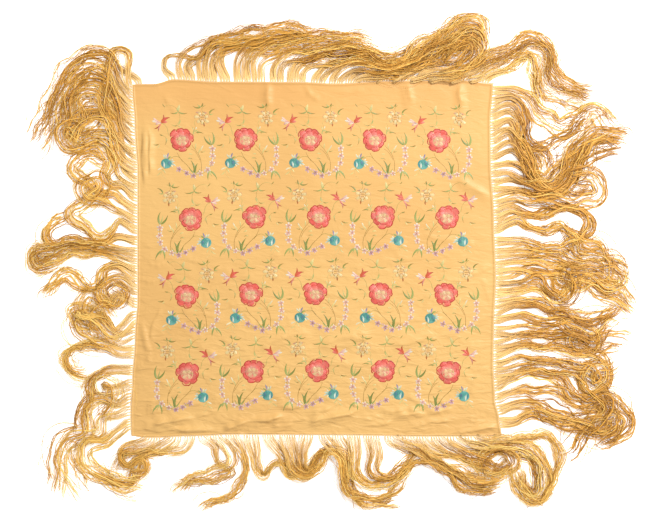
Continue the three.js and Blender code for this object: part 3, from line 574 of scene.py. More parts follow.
            (-686, -425), (-706, -470), (-700, -520)]},
        {"at": -384, "span": 36, "wide": 14, "via": [(-600, -398), (-650, -402), (-656, -370),
            (-616, -380), (-618, -438), (-640, -486)]},
        {"at": -424, "span": 34, "wide": 22, "via": [(-602, -446), (-650, -434), (-704, -462),
            (-702, -530), (-765, -570), (-782, -640), (-785, -705)]},
        {"at": -464, "span": 34, "wide": 22, "via": [(-605, -480), (-652, -490), (-650, -532),
            (-700, -545), (-760, -580), (-742, -655), (-704, -706)]},
        {"at": -504, "span": 36, "wide": 22, "via": [(-602, -530), (-645, -556), (-695, -572),
            (-704, -618), (-660, -652), (-600, -684), (-546, -692)]},
    ],
}

fringe = {
    "seed": 7,
    "tasselPitch": 7.8,  # the edge that each knotted tassel takes
    "strands": 6,  # strands in a tassel
    "strandWide": 2.4,
    "strandHigh": 1.5,
    "full": {"top": 1.0, "right": 1.45, "bottom": 0.95, "left": 1.3},  # how full each side's strands are
    "rootThick": {"top": 1.15, "right": 0.95, "bottom": 0.5, "left": 0.7},  # at the edge, of its thickness
    "lean": {"top": 0.0, "right": -0.5, "bottom": 0.3, "left": 0.35},  # how much lighter or darker each side's strands are made
    "strandStep": 12.5,  # the length between a strand's points
    "knotWide": 7.6,  # how far apart a tassel's strands start, and how far apart they run in the open
    "openWide": 12.5,
    "hankSpread": {"top": 1.75, "right": 3.0, "bottom": 1.0, "left": 3.0},  # how wide a hank lies
    "clump": 3,  # tassels that draw together near the edge, how closely, and by where
    "clumpClose": {"top": 0.75, "right": 0.62, "bottom": 0.9, "left": 0.6},
    "clumpBy": 48,
    "clumpOpens": (110, 230),  # where the clumps lose themselves in their hank
    "clumpDrift": 8,  # how far a clump, a tassel and a strand wander
    "hankDrift": 5,
    "strandDrift": 3.2,
    "comb": 8,  # how far the strands leave the edge square
    "gather": 165,  # how far it takes them to come together in their hank
    "tasselHigh": 1.5,  # how much a tassel adds to the pile it lies on, and how high a pile can get
    "pileLimit": 27,
    "overrun": 34,  # how far the longest strands run on past their hank's last place
    "loose": {"top": 0.27, "right": 0.45, "bottom": 0.22, "left": 0.42},  # share that leaves its hank
    "looseReach": 44,
    "hairs": 0.45,  # the share of those that are fine hairs and stray further
    "curly": 0.06,  # the share of strands that curl in small rings, how wide and how often
    "curlReach": 10,
    "curlEvery": 6.5,
    "tipSpread": 2.1,  # how much further apart the tips lie
    "low": (-885, -774),  # strands that stray past these are drawn back in, over a soft distance
    "high": (985, 757),
    "soft": 30,
}

outward = {"top": (0, 1), "right": (1, 0), "bottom": (0, -1), "left": (-1, 0)}

# How high the pile has grown, over a map of small squares
pileMap = {"low": (-1000, -820), "cell": 4.0, "count": (510, 400)}


def edgePoint(side, along, out):
    # the place on an edge at a distance along it, moved out from it
    at = float(edgeAt(side, along))
    middle = (along, at) if outward[side][0] == 0 else (at, along)
    return np.array(middle) + np.array(outward[side]) * out


def pathOf(points):
    # the points with the distance along them and the way to their left
    way = np.gradient(points, axis=0)
    way /= np.linalg.norm(way, axis=1)[:, None]
    steps = np.linalg.norm(np.diff(points, axis=0), axis=1)
    return {"points": points, "along": np.concatenate([[0], np.cumsum(steps)]),
            "left": np.column_stack([-way[:, 1], way[:, 0]])}


def hankPath(side, hank, chance):
    root = edgePoint(side, hank["at"], 0)
    combed = edgePoint(side, hank["at"], fringe["comb"])
    via = [np.array(place, float) for place in hank["via"]]
    last = via[-1] - via[-2]
    turn = chance.uniform(-0.7, 0.7)
    turned = np.array([last[0] * math.cos(turn) - last[1] * math.sin(turn),
                       last[0] * math.sin(turn) + last[1] * math.cos(turn)])
    end = via[-1] + turned / np.linalg.norm(turned) * fringe["overrun"]
    return pathOf(smoothPath([root, combed] + via + [end], 4))


def wander(along, chance, lengths, reach):
    # a slow sideways drift that starts at nothing
    total = np.zeros_like(along)
    for length in lengths:
        phase = chance.uniform(0, 2 * math.pi)
        stretch = length * chance.uniform(0.8, 1.25)
        total += np.sin(2 * math.pi * along / stretch + phase) - math.sin(phase)
    return reach * total / len(lengths) * eased(along, 10, 130)


def makeTassels(side, chance):
    tassels = []
    for hank in hanks[side]:
        path = hankPath(side, hank, chance)
        along = path["along"]
        gathered = eased(along, 0, fringe["gather"])
        widths = hank["span"] + (hank["wide"] * fringe["hankSpread"][side] - hank["span"]) * gathered
        close = (1 - fringe["clumpClose"][side]) * eased(along, 3, fringe["clumpBy"])
        close *= 1 - 0.9 * eased(along, *fringe["clumpOpens"])
        count = max(2, round(hank["span"] / fringe["tasselPitch"]))
        places = (2 * np.arange(count) + 1 - count) / count
        clumps = np.array_split(places, max(1, round(count / fringe["clump"])))
        members = [(across, clump.mean(), k) for k, clump in enumerate(clumps) for across in clump]
        drifts = [wander(along, chance, (95, 150, 240), fringe["clumpDrift"]) for _ in clumps]
        tones = chance.normal(0, 0.3, len(clumps))
        for across, middle, k in members:
            spread = (across + (middle - across) * close) * widths / 2
            aside = spread + drifts[k] + wander(along, chance, (70, 120, 200), fringe["hankDrift"])
            points = path["points"] + path["left"] * aside[:, None]
            leftAtRoot = np.array([-outward[side][1], outward[side][0]])
            axis = 0 if outward[side][0] == 0 else 1
            knotAt = hank["at"] + across * hank["span"] / 2 * leftAtRoot[axis]
            knot = edgePoint(side, knotAt, heading["knotOut"])
            points += (knot - points[0]) * (1 - eased(along, 0, fringe["comb"]))[:, None]
            tassels.append({"path": pathOf(points), "knot": knot, "side": side, "tone": tones[k]})
    return tassels


def pileSquares(points):
    squares = np.rint((points - np.array(pileMap["low"])) / pileMap["cell"]).astype(int)
    return np.clip(squares, 0, np.array(pileMap["count"]) - 1)


def newPile():
    pile = np.full(pileMap["count"], 0.4)
    x = pileMap["low"][0] + pileMap["cell"] * np.arange(pileMap["count"][0])[:, None]
    y = pileMap["low"][1] + pileMap["cell"] * np.arange(pileMap["count"][1])[None, :]
    inWide = (x > edgeAt("left", y) - 2) & (x < edgeAt("right", y) + 2)
    inDeep = (y > edgeAt("bottom", x) - 2) & (y < edgeAt("top", x) + 2)
    pile[inWide & inDeep] = 5.5
    return pile


def layTassel(tassel, pile):
    # finds how high the tassel lies on what is there already, its own earlier turns too, and adds it
    path = tassel["path"]
    points, left = path["points"], path["left"]
    reach = fringe["openWide"] / 2
    lanes = [pileSquares(points + left * reach * share) for share in (-0.9, -0.45, 0, 0.45, 0.9)]
    height = np.zeros(len(points))
    delay = 6
    for i in range(len(points)):
        height[i] = max(pile[tuple(lane[i])] for lane in lanes)
        if i >= delay:
            for lane in lanes:
                pile[tuple(lane[i - delay])] = height[i - delay] + layer(height[i - delay])
    around = np.lib.stride_tricks.sliding_window_view(np.pad(height, 3, mode="edge"), 7).max(axis=1)
    weights = np.hanning(15)[1:-1]
    smooth = np.convolve(np.pad(around, 6, mode="edge"), weights / weights.sum(), mode="valid")
    smooth = 1.6 + (smooth - 1.6) * eased(path["along"], 2, 22)
    for lane in lanes:
        squares = (lane[:, 0], lane[:, 1])
        pile[squares] = np.maximum(pile[squares], smooth + layer(smooth))
    tassel["height"] = smooth


def layer(height):
    # what one tassel adds, less and less in a deep pile, which its own weight presses down
    return fringe["tasselHigh"] * np.clip(1 - height / fringe["pileLimit"], 0.04, 1)


def keptWithin(places):
    # strands that stray too far are drawn back in
    low, high, soft = np.array(fringe["low"]), np.array(fringe["high"]), fringe["soft"]
    over = np.clip(places - high + soft, 0, None)
    under = np.clip(low + soft - places, 0, None)
    return places - over + soft * np.tanh(over / soft) + under - soft * np.tanh(under / soft)


def strandsOf(tassel, chance):
    path = tassel["path"]
    along, points, left = path["along"], path["points"], path["left"]
    whole = along[-1]
    root = fringe["rootThick"][tassel["side"]]
    tasselTone = tassel["tone"] + fringe["lean"][tassel["side"]] + chance.normal(0, 0.35)
    strands = []
    count = fringe["strands"]
    for j in range(count):
        across = (2 * j + 1 - count) / count + chance.uniform(-0.12, 0.12)
        opened = eased(along, 6, 110)
        openWide = fringe["openWide"] * chance.uniform(0.8, 1.15)
        wide = fringe["knotWide"] + (openWide - fringe["knotWide"]) * opened
        wide = wide * (0.4 + 0.6 * eased(along, 0, 14))
        wide = wide * (1 + (fringe["tipSpread"] - 1) * eased(along, whole - 70, whole))
        aside = across * wide / 2 + wander(along, chance, (42, 75, 130), fringe["strandDrift"])
        ahead = np.zeros_like(along)
        step = fringe["strandStep"]
        thick = chance.uniform(0.5, 1.12) * fringe["full"][tassel["side"]]
        if chance.random() < fringe["loose"][tassel["side"]]:
            leaves = chance.uniform(90, 0.7 * whole)
            hair = chance.random() < fringe["hairs"]
            away = chance.choice([-1, 1]) * chance.uniform(0.4, 1.5 if hair else 1) * fringe["looseReach"]
            aside = aside + away * eased(along, leaves, leaves + 90) * np.cos((along - leaves) / 60)
            thick *= 0.32 if hair else 0.6
        if chance.random() < fringe["curly"]:
            starts = chance.uniform(0.3, 0.75) * whole
            turns = eased(along, starts, starts + 25) * (1 - eased(along, starts + 95, starts + 130))
            reach = fringe["curlReach"] * chance.uniform(0.7, 1.2) * turns
            aside = aside + reach * np.sin((along - starts) / fringe["curlEvery"])
            ahead = reach * np.cos((along - starts) / fringe["curlEvery"])
            thick *= 0.7
            step = 4.2
        end = whole - fringe["overrun"] * chance.uniform(0, 1) ** 0.7 - chance.uniform(0, 22)
        even = np.linspace(0, end, max(8, round(end / step)) + 1)
        way = np.column_stack([left[:, 1], -left[:, 0]])
        place = keptWithin(points + left * aside[:, None] + way * ahead[:, None])
        lift = tassel["height"] + chance.uniform(0, 1.1) * opened
        tapered = 1 - 0.6 * eased(even, end - 26, end)
        strands.append({
            "x": np.interp(even, along, place[:, 0]),
            "y": np.interp(even, along, place[:, 1]),
            "z": np.interp(even, along, lift),
            "radius": thick * (root + (1 - root) * eased(even, 4, 75)) * tapered,
            "along": even,
            "tone": tasselTone + chance.normal(0, 1.05),
        })
    return strands


def strandSection():
    # a strand's outline: its flat side down
    curve = bpy.data.curves.new("strandSection", "CURVE")
    curve.dimensions = "2D"
    outline = curve.splines.new("POLY")
    outline.points.add(2)
    half = fringe["strandWide"] / 2
    for point, (x, y) in zip(outline.points, [(-half, 0), (half, 0), (0, fringe["strandHigh"])]):
        point.co = (x * mm, y * mm, 0, 1)
    outline.use_cyclic_u = True
    section = bpy.data.objects.new("strandSection", curve)
    collection.objects.link(section)
    return section


def strandMesh(name, strands):
    section = strandSection()
    curve = bpy.data.curves.new(name, "CURVE")
    curve.dimensions = "3D"
    curve.twist_mode = "Z_UP"
    curve.bevel_mode = "OBJECT"
    curve.bevel_object = section
    curve.use_fill_caps = True
    for strand in strands:
        line = addLine(curve, strand["x"], strand["y"], strand["z"])
        line.points.foreach_set("radius", strand["radius"])
    mesh = meshFromCurve(curve)
    mesh.name = name
    outline = section.data
    bpy.data.objects.remove(section)
    bpy.data.curves.remove(outline)
    return mesh


def paintStrands(mesh, strands):
    # gives each strand its own row of the flat map, and a tone that runs along it
    sides, caps = 3, 2 * len(strands)
    along = np.empty(len(mesh.loops) * 2)
    mesh.uv_layers[0].data.foreach_get("uv", along)
    along = along.reshape(-1, 2)
    rowOf = np.empty(len(mesh.loops))
    capLoops = caps * sides
    rowOf[:capLoops] = np.repeat(np.arange(len(strands)), 2 * sides)
    endCaps = [(0.997, 0.1), (1.0, 0.1), (0.997, 0.9), (0.0, 0.1), (0.003, 0.1), (0.0, 0.9)]
    along[:capLoops] = np.tile(endCaps, (len(strands), 1))
    at = capLoops
    for k, strand in enumerate(strands):
        span = (len(strand["x"]) - 1) * sides * 4
        rowOf[at:at + span] = k
        at += span
    along[capLoops:, 0] = 0.004 + 0.992 * along[capLoops:, 0]
    lengths = np.array([strand["along"][-1] for strand in strands])
    tones = np.array([strand["tone"] for strand in strands])
    rows = rowOf.astype(int)
    distance = along[:, 0] * lengths[rows]
    toneOf = tones[rows] + 0.4 * np.sin(distance / 31 + 5 * tones[rows])
    flat = np.column_stack([along[:, 0], (rowOf + 0.08 + 0.84 * along[:, 1]) / len(strands)])
    mesh.uv_layers[0].name = "OFBake"
    mesh.uv_layers[0].data.foreach_set("uv", flat.ravel())
    tone = mesh.attributes.new("tone", "FLOAT", "CORNER")
    tone.data.foreach_set("value", toneOf)
    reach = mesh.attributes.new("reach", "FLOAT", "CORNER")
    reach.data.foreach_set("value", distance)
    mesh.polygons.foreach_set("use_smooth", np.ones(len(mesh.polygons), bool))


def makeFringe():
    pile = newPile()
    pieces, allTassels = {}, []
    for number, side in enumerate(outward):
        chance = np.random.default_rng(fringe["seed"] + number)
        tassels = makeTassels(side, chance)
        for k in chance.permutation(len(tassels)):
            layTassel(tassels[k], pile)
        strands = [strand for tassel in tassels for strand in strandsOf(tassel, chance)]
        name = "fringe" + side.capitalize()
        mesh = strandMesh(name, strands)
        paintStrands(mesh, strands)
        piece = bpy.data.objects.new(name, mesh)
        collection.objects.link(piece)
        pieces[side] = piece
        allTassels += tassels
        counts = f"{len(tassels)} tassels, {len(strands)} strands and {len(mesh.polygons)} faces"
        print(f"shawl: {name} has {counts}")
    return pieces, allTassels


# The heading: a cord along each edge, and a knot where each tassel hangs from it
heading = {
    "cordOut": 1.6,  # the cord's distance from the cloth's edge
    "cordRadius": 0.8,
    "cordHeight": 1.5,
    "cordShort": 3,  # how far it stops short of a corner
    "knotOut": 2.6,
    "knotLong": 3.4,
    "knotWide": 3.0,
    "knotHigh": 2.2,
    "knotOver": 0.3,  # how much higher than the cord a knot sits
    "knotRings": 4,
    "knotSegments": 6,
}


def makeHeading(tassels):
    bm = bmesh.new()
    for tassel in tassels:
        x, y = tassel["knot"]
        knot = bmesh.ops.create_uvsphere(bm, u_segments=heading["knotSegments"],
                                         v_segments=heading["knotRings"], radius=1)["verts"]
        size = [heading["knotWide"], heading["knotLong"], heading["knotHigh"]]
        if outward[tassel["side"]][0] != 0:
            size[:2] = size[1], size[0]
        bmesh.ops.scale(bm, verts=knot, vec=[length / 2 * mm for length in size])
        high = heading["cordHeight"] + heading["knotOver"]
        bmesh.ops.translate(bm, verts=knot, vec=(x * mm, y * mm, high * mm))
    for side in outward:
        half = cloth["halfWide"] if outward[side][0] == 0 else cloth["halfDeep"]
        along = np.arange(-1, 1.0001, 0.01) * (half - heading["cordShort"])
        points = np.array([edgePoint(side, place, heading["cordOut"]) for place in along])
        curve = bpy.data.curves.new("cord", "CURVE")
        curve.dimensions = "3D"
        curve.bevel_depth = heading["cordRadius"] * mm
        curve.bevel_resolution = 1
        curve.use_fill_caps = True
        addLine(curve, points[:, 0], points[:, 1], np.full(len(points), heading["cordHeight"]))
        mesh = meshFromCurve(curve)
        bm.from_mesh(mesh)
        bpy.data.meshes.remove(mesh)
    for face in bm.faces:
        face.smooth = True
    return meshObject("heading", bm)


# The embroidery: raised satin stitch, drawn in millimetres from a peony's middle, x right and y up
stitching = {
    "rise": 0.6,  # how far a patch stands over the cloth
    "sink": 0.2,  # how far its border goes in
    "layer": 0.25,  # how much a patch laid over others starts higher
    "seed": 21,
    "sway": 0.9,  # how far the ends of a patch stray from the drawing
    "toneSway": 0.05,
}

# Where the peonies are. In every other row the spray is turned over, left to right.
sprays = [
    {"turnedOver": False, "middles": [(-409, 363), (-214, 364), (-17, 364), (179, 363), (374, 360)]},
    {"turnedOver": True, "middles": [(-380, 121), (-185, 127), (12, 128), (207, 128), (403, 126)]},
    {"turnedOver": False, "middles": [(-394, -114), (-199, -108), (-2, -106), (197, -107), (396, -109)]},
    {"turnedOver": True, "middles": [(-389, -350), (-191, -343), (8, -340), (208, -341), (407, -346)]},
]

silks = {
    "rim": fromPicture(208, 66, 54),
    "coral": fromPicture(248, 106, 90),
    "rose": fromPicture(254, 144, 126),
    "peach": fromPicture(240, 172, 132),
    "cream": fromPicture(246, 208, 152),
    "paleGold": fromPicture(246, 222, 150),
    "vermilion": fromPicture(228, 104, 62),
    "rust": fromPicture(198, 98, 52),
    "blush": fromPicture(252, 216, 192),
    "mauve": fromPicture(228, 162, 150),
    "lilac": fromPicture(222, 176, 172),
    "violet": fromPicture(188, 134, 148),
    "dusk": fromPicture(98, 124, 160),
    "teal": fromPicture(84, 160, 148),
    "aqua": fromPicture(130, 196, 180),
    "white": fromPicture(244, 240, 214),
    "leaf": fromPicture(158, 162, 80),
    "deepLeaf": fromPicture(132, 138, 60),
    "freshLeaf": fromPicture(178, 184, 104),
    "paleLeaf": fromPicture(218, 206, 126),
    "bronze": fromPicture(176, 138, 62),
    "stem": fromPicture(170, 134, 58),
}

# How wide a patch is along its length, as a share of its greatest width
patchForms = {
    "leaf": lambda t: np.sin(math.pi * t) ** 0.75,
    "petal": lambda t: np.sqrt(t) * np.sqrt(np.clip(1.001 - t ** 5, 0, 1)),
    "blade": lambda t: np.sin(math.pi * t ** 0.55) ** 0.8,
    "bead": lambda t: np.sqrt(np.clip(1 - (2 * t - 1) ** 2, 0, 1)),
    "stem": lambda t: 1 - 0.35 * t,
}


def layPatch(needle, spine, wide, colours, level, rise, lanes):
    # a grid laid along a spine, domed across, with its border in the cloth
    steps = len(spine) - 1
    made = bmesh.ops.create_grid(needle["bm"], x_segments=lanes, y_segments=steps, size=1)["verts"]
    way = np.gradient(spine, axis=0)
    way /= np.linalg.norm(way, axis=1)[:, None] + 1e-9
    right = np.column_stack([way[:, 1], -way[:, 0]])
    reached = np.concatenate([[0], np.cumsum(np.linalg.norm(np.diff(spine, axis=0), axis=1))])
    tone = 1 + needle["chance"].normal(0, stitching["toneSway"])
    where = {}
    for vert in made:
        across = vert.co.x
        i = round((vert.co.y + 1) / 2 * steps)
        x, y = spine[i] + right[i] * across * wide[i] / 2
        dome = rise * (1 - across * across) - stitching["sink"] * (abs(across) > 0.99)
        vert.co = (x, y, level * stitching["layer"] + dome)
        where[vert] = (i, across * wide[i] / 2)
    shades = np.array([silks[colour][:3] for colour in colours]) * tone
    stops = np.linspace(0.15, 0.92, len(shades))
    rows = [[np.interp(i / steps, stops, shades[:, part]) for part in range(3)] for i in range(steps + 1)]
    for face in {face for vert in made for face in vert.link_faces}:
        face.smooth = True
        for loop in face.loops:
            i, aside = where[loop.vert]
            loop[needle["tint"]] = (*rows[i], 1)
            loop[needle["flat"]].uv = (reached[i], aside)


def satin(needle, start, end, wide, colours, bow=0.0, form="leaf", level=0, rise=1.0, lanes=2, steps=5):
    # one patch from its root to its tip, bowed to the left by a share of its length
    sway = needle["chance"].normal(0, stitching["sway"], (2, 2))
    start, end = np.array(start, float) + sway[0] * 0.4, np.array(end, float) + sway[1]
    along = end - start
    middle = (start + end) / 2 + np.array([-along[1], along[0]]) * bow * 2
    t = np.linspace(0, 1, steps + 1)
    spine = np.outer((1 - t) ** 2, start) + np.outer(2 * t * (1 - t), middle) + np.outer(t ** 2, end)
    share = np.clip(patchForms[form](t), 0.07, 1)
    colours = colours if isinstance(colours, tuple) else (colours, colours)
    layPatch(needle, spine, share * wide, colours, level, rise * stitching["rise"], lanes)


def stem(needle, places, wide=2.0, colours=("stem", "stem"), level=0, step=7):
    sway = needle["chance"].normal(0, stitching["sway"] * 0.6, (len(places), 2))
    spine = smoothPath(np.array(places, float) + sway, step)
    share = patchForms["stem"](np.linspace(0, 1, len(spine)))
    layPatch(needle, spine, share * wide, colours, level, 0.8 * stitching["rise"], 2)


def ring(count, turn=0.0):
    return [turn + 2 * math.pi * k / count for k in range(count)]


def polar(angle, reach, middle=(0, 0)):
    return (middle[0] + reach * math.cos(angle), middle[1] + reach * math.sin(angle))


def peonyReach(angle):
    # the peony's uneven outline
    return 34.5 * (1 + 0.045 * math.sin(3 * angle + 0.6) + 0.03 * math.cos(5 * angle))


def edging(needle, middle, angle, reach, half, wide, colours, level):
    # a line of stitches around the outer end of a petal
    shares = ((-1, -0.11), (-0.62, 0.01), (-0.2, 0.0), (0.2, 0.03), (0.62, 0.01), (1, -0.11))
    places = [polar(angle + half * turn, reach * (1 + out), middle) for turn, out in shares]
    stem(needle, places, wide, colours, level=level, step=5)


def stitchPeony(needle):
    for k, angle in enumerate(ring(8, 0.15)):
        reach = peonyReach(angle) + needle["chance"].normal(0, 0.7)
        colours = ("rose", "coral", "coral") if k % 3 else ("rose", "rose", "coral")
        satin(needle, polar(angle, 7), polar(angle, reach), 30, colours, form="petal", level=k % 2, lanes=5,
              steps=6)
        edging(needle, (0, 0), angle, reach - 0.4, 0.40, 3.4, ("rim", "rim"), 2 + k % 2)
    for k, angle in enumerate(ring(6, 0.5)):
        reach = 25.5 + 1.5 * math.sin(2 * angle) + needle["chance"].normal(0, 0.6)
        colours = ("peach", "rose", "coral") if k % 2 else ("rose", "rose", "coral")
        satin(needle, polar(angle, 5), polar(angle, reach), 25, colours, form="petal", level=3, lanes=4)
        edging(needle, (0, 0), angle, reach, 0.46, 1.7, ("coral", "rim"), 4)
    for angle in ring(5, 0.1):
        satin(needle, polar(angle, 3, (2, -2)), polar(angle, 19, (2, -3)), 19, ("cream", "peach", "rose"),
              form="petal", level=4, lanes=3)
    for angle in ring(4, 0.78):
        satin(needle, (3, -3), polar(angle, 15.5, (3, -3.5)), 16, ("peach", "cream", "cream"), form="petal",
              level=5, lanes=3)
    outline = [(-14, 6), (-13, -11), (-2, -17), (12, -16), (20, -8), (20, 6), (8, 10), (-6, 11), (-14, 6)]
    stem(needle, outline, 1.6, ("paleGold", "mauve"), level=6)
    stem(needle, [(-8, 3), (-1, 7), (3, 0), (9, 6), (14, 1)], 1.5, ("bronze", "paleGold"), level=6)
    stem(needle, [(-9, -6), (0, -10), (10, -9), (15, -4)], 1.5, ("rose", "peach"), level=6)
    satin(needle, (-12, 3), (-10, -2), 3, ("bronze", "paleGold"), level=6)
    satin(needle, (17, 2), (18, -3), 3, ("bronze", "paleGold"), level=6)


def stitchLily(needle):
    middle = (-61, 50)
    stem(needle, [middle, (-50, 44), (-43, 34), (-40, 18)], 1.6, ("freshLeaf", "bronze"))
    satin(needle, middle, (-84, 67), 11, ("mauve", "blush"), 0.10, "petal", lanes=3)
    satin(needle, middle, (-90, 58), 10, ("rose", "blush", "white"), 0.0, "petal", lanes=3)
    satin(needle, middle, (-80, 45), 11, ("white", "blush", "mauve"), -0.10, "petal", lanes=3)
    satin(needle, middle, (-84, 32), 6, ("rose", "rust", "rust"), 0.14, "leaf")
    satin(needle, middle, (-71, 23), 6, ("rose", "mauve", "rust"), -0.12, "leaf")
    satin(needle, middle, (-55, 77), 8.5, ("vermilion", "rust"), -0.14, "blade", level=1)
    satin(needle, middle, (-35, 67), 10, ("vermilion", "coral", "rust"), 0.14, "blade", level=1)
    satin(needle, middle, (-42, 54), 8, ("vermilion", "rose"), 0.08, "leaf", level=1)


def stitchTopSprig(needle):
    middle = (-9, 84)
    stem(needle, [(-16, 42), (-6, 56), (-4, 70), middle], 1.8, ("paleLeaf", "bronze"))
    stem(needle, [middle, (-18, 97), (-34, 105), (-50, 101), (-52, 94)], 1.8, ("bronze", "paleLeaf"))
    satin(needle, middle, (-5, 106), 8, ("paleLeaf", "paleGold"), 0.08, "leaf", level=1)
    satin(needle, middle, (19, 80), 6, ("freshLeaf", "bronze"), -0.14, "blade")
    satin(needle, middle, (-34, 81), 6, ("freshLeaf", "bronze"), 0.14, "blade")
    satin(needle, middle, (-14, 98), 4, ("freshLeaf", "paleLeaf"), 0.1, "leaf")
    satin(needle, (-3, 60), (-10, 44), 5, ("freshLeaf", "paleLeaf"), 0.1, "leaf")
    satin(needle, (-12, 43), (-30, 46), 4.5, ("bronze", "paleLeaf"), 0.16, "blade")
    satin(needle, (-12, 43), (2, 38), 4, ("paleLeaf", "paleGold"), -0.1, "leaf")
    satin(needle, (-50, 99), (-58, 108), 3.5, ("bronze", "leaf"), 0.1, "leaf")


def stitchCreamFlower(needle):
    middle = (63, 66)
    for angle in ring(7, 0.3):
        reach = 21.5 + 2.5 * math.cos(2 * angle + 1)
        satin(needle, polar(angle, 5, middle), polar(angle, reach, middle), 15, ("cream", "paleGold"),
              form="petal", lanes=3)
        edging(needle, middle, angle, reach, 0.32, 1.2, ("peach", "cream"), 1)
    outline = [(61, 52), (54, 62), (56, 73), (65, 77), (73, 70), (73, 58), (66, 51)]
    stem(needle, outline, 1.7, ("bronze", "bronze"), level=2, step=5)
    for low, high in (((58, 60), (71, 61)), ((57, 66), (72, 67)), ((60, 72), (70, 73))):
        satin(needle, low, high, 1.8, ("bronze", "peach"), level=2, steps=3)
    satin(needle, (66, 52), (68, 38), 5, ("bronze", "rust"), 0.1, "leaf", level=1)
    satin(needle, (59, 84), (46, 84), 4, ("bronze", "mauve"), 0.16, "leaf", level=1)
    satin(needle, (66, 84), (79, 80), 4, ("bronze", "mauve"), -0.16, "leaf", level=1)
    stem(needle, [(73, 104), (64, 98), (62, 90), (70, 80)], 1.7, ("leaf", "bronze"))
    satin(needle, (60, 99), (35, 101), 6.5, ("leaf", "bronze"), 0.16, "blade")
    satin(needle, (60, 99), (50, 107), 5, ("freshLeaf", "paleLeaf"), 0.1, "leaf")
    satin(needle, (61, 99), (66, 110), 5, ("leaf", "bronze"), -0.1, "leaf", level=1)
    satin(needle, (84, 78), (103, 93), 6.5, ("leaf", "bronze"), 0.14, "blade")
    satin(needle, (84, 78), (97, 78), 5, ("freshLeaf", "paleLeaf"), -0.12, "blade")
    stem(needle, [(45, 60), (38, 50), (42, 38), (36, 24)], 1.6, ("paleLeaf", "bronze"))
    satin(needle, (40, 30), (46, 38), 5, ("paleGold", "white"), -0.12, "leaf")
    satin(needle, (38, 26), (34, 38), 4.5, ("paleGold", "paleLeaf"), -0.12, "leaf")
    satin(needle, (36, 14), (42, 28), 4.5, ("paleLeaf", "freshLeaf"), 0.1, "leaf")


def stitchBlossom(needle, middle, reach, turn, colours, heart):
    for angle in ring(5, turn):
        satin(needle, polar(angle, 1, middle), polar(angle, reach + 1, middle), reach * 1.05, colours,
              form="petal", steps=4, lanes=3)
    for angle in ring(3, turn + 0.5):
        satin(needle, middle, polar(angle, reach * 0.6, middle), 2.4, heart, level=2, steps=3)


def stitchGarland(needle):
    hoop = [(94, -17), (96, -40), (93, -66), (84, -90), (64, -104), (38, -108), (14, -101), (-8, -90)]
    stem(needle, hoop, 1.7, ("stem", "freshLeaf"))
    satin(needle, (94, -17), (93, 22), 6.8, ("freshLeaf", "leaf"), -0.15, "blade", level=1, steps=7)
    satin(needle, (93, -17), (69, 9), 6.4, ("leaf", "deepLeaf"), 0.12, "blade", level=1, steps=7)
    satin(needle, (93, -15), (84, 12), 5, ("freshLeaf", "paleLeaf"), 0.05, "blade")
    pinks = [((94, -28), 9.5, 0.3), ((95, -50), 9.5, 1.0), ((93, -72), 9, 0.1), ((80, -92), 9, 0.8),
             ((58, -104), 8, 0.5)]
    for middle, reach, turn in pinks:
        stitchBlossom(needle, middle, reach, turn, ("mauve", "blush", "white"), ("lilac", "mauve"))
    lilacs = [((37, -111), 9, 0.2), ((16, -103), 9, 0.7), ((-7, -91), 9.5, 1.2)]
    for middle, reach, turn in lilacs:
        stitchBlossom(needle, middle, reach, turn, ("violet", "lilac", "blush"), ("violet", "violet"))
    for x, y in [(88, -39), (99, -61), (88, -83), (70, -100), (47, -107), (27, -108), (5, -97)]:
        satin(needle, (x, y), (x + 5, y + 6), 4, ("blush", "mauve"), 0.1, "leaf", level=1, steps=3)
    satin(needle, (86, -96), (80, -124), 7.5, ("freshLeaf", "leaf"), -0.10, "blade", steps=6)
    satin(needle, (87, -96), (107, -123), 7.5, ("freshLeaf", "leaf"), 0.12, "blade", steps=6)
    satin(needle, (86, -95), (94, -112), 5, ("paleLeaf", "freshLeaf"), 0.0, "blade")


def stitchGrass(needle):
    root = (41, -104)
    satin(needle, root, (29, -64), 7, ("leaf", "deepLeaf"), -0.10, "blade", level=1, steps=7)
    satin(needle, root, (50, -72), 8, ("deepLeaf", "leaf"), 0.10, "blade", level=1, steps=7)
    satin(needle, root, (24, -84), 6, ("freshLeaf", "leaf"), 0.10, "blade", steps=6)
    satin(needle, root, (40, -80), 5, ("freshLeaf", "leaf"), -0.05, "blade", steps=5)
    satin(needle, root, (57, -88), 4.5, ("paleLeaf", "leaf"), -0.12, "blade", steps=5)


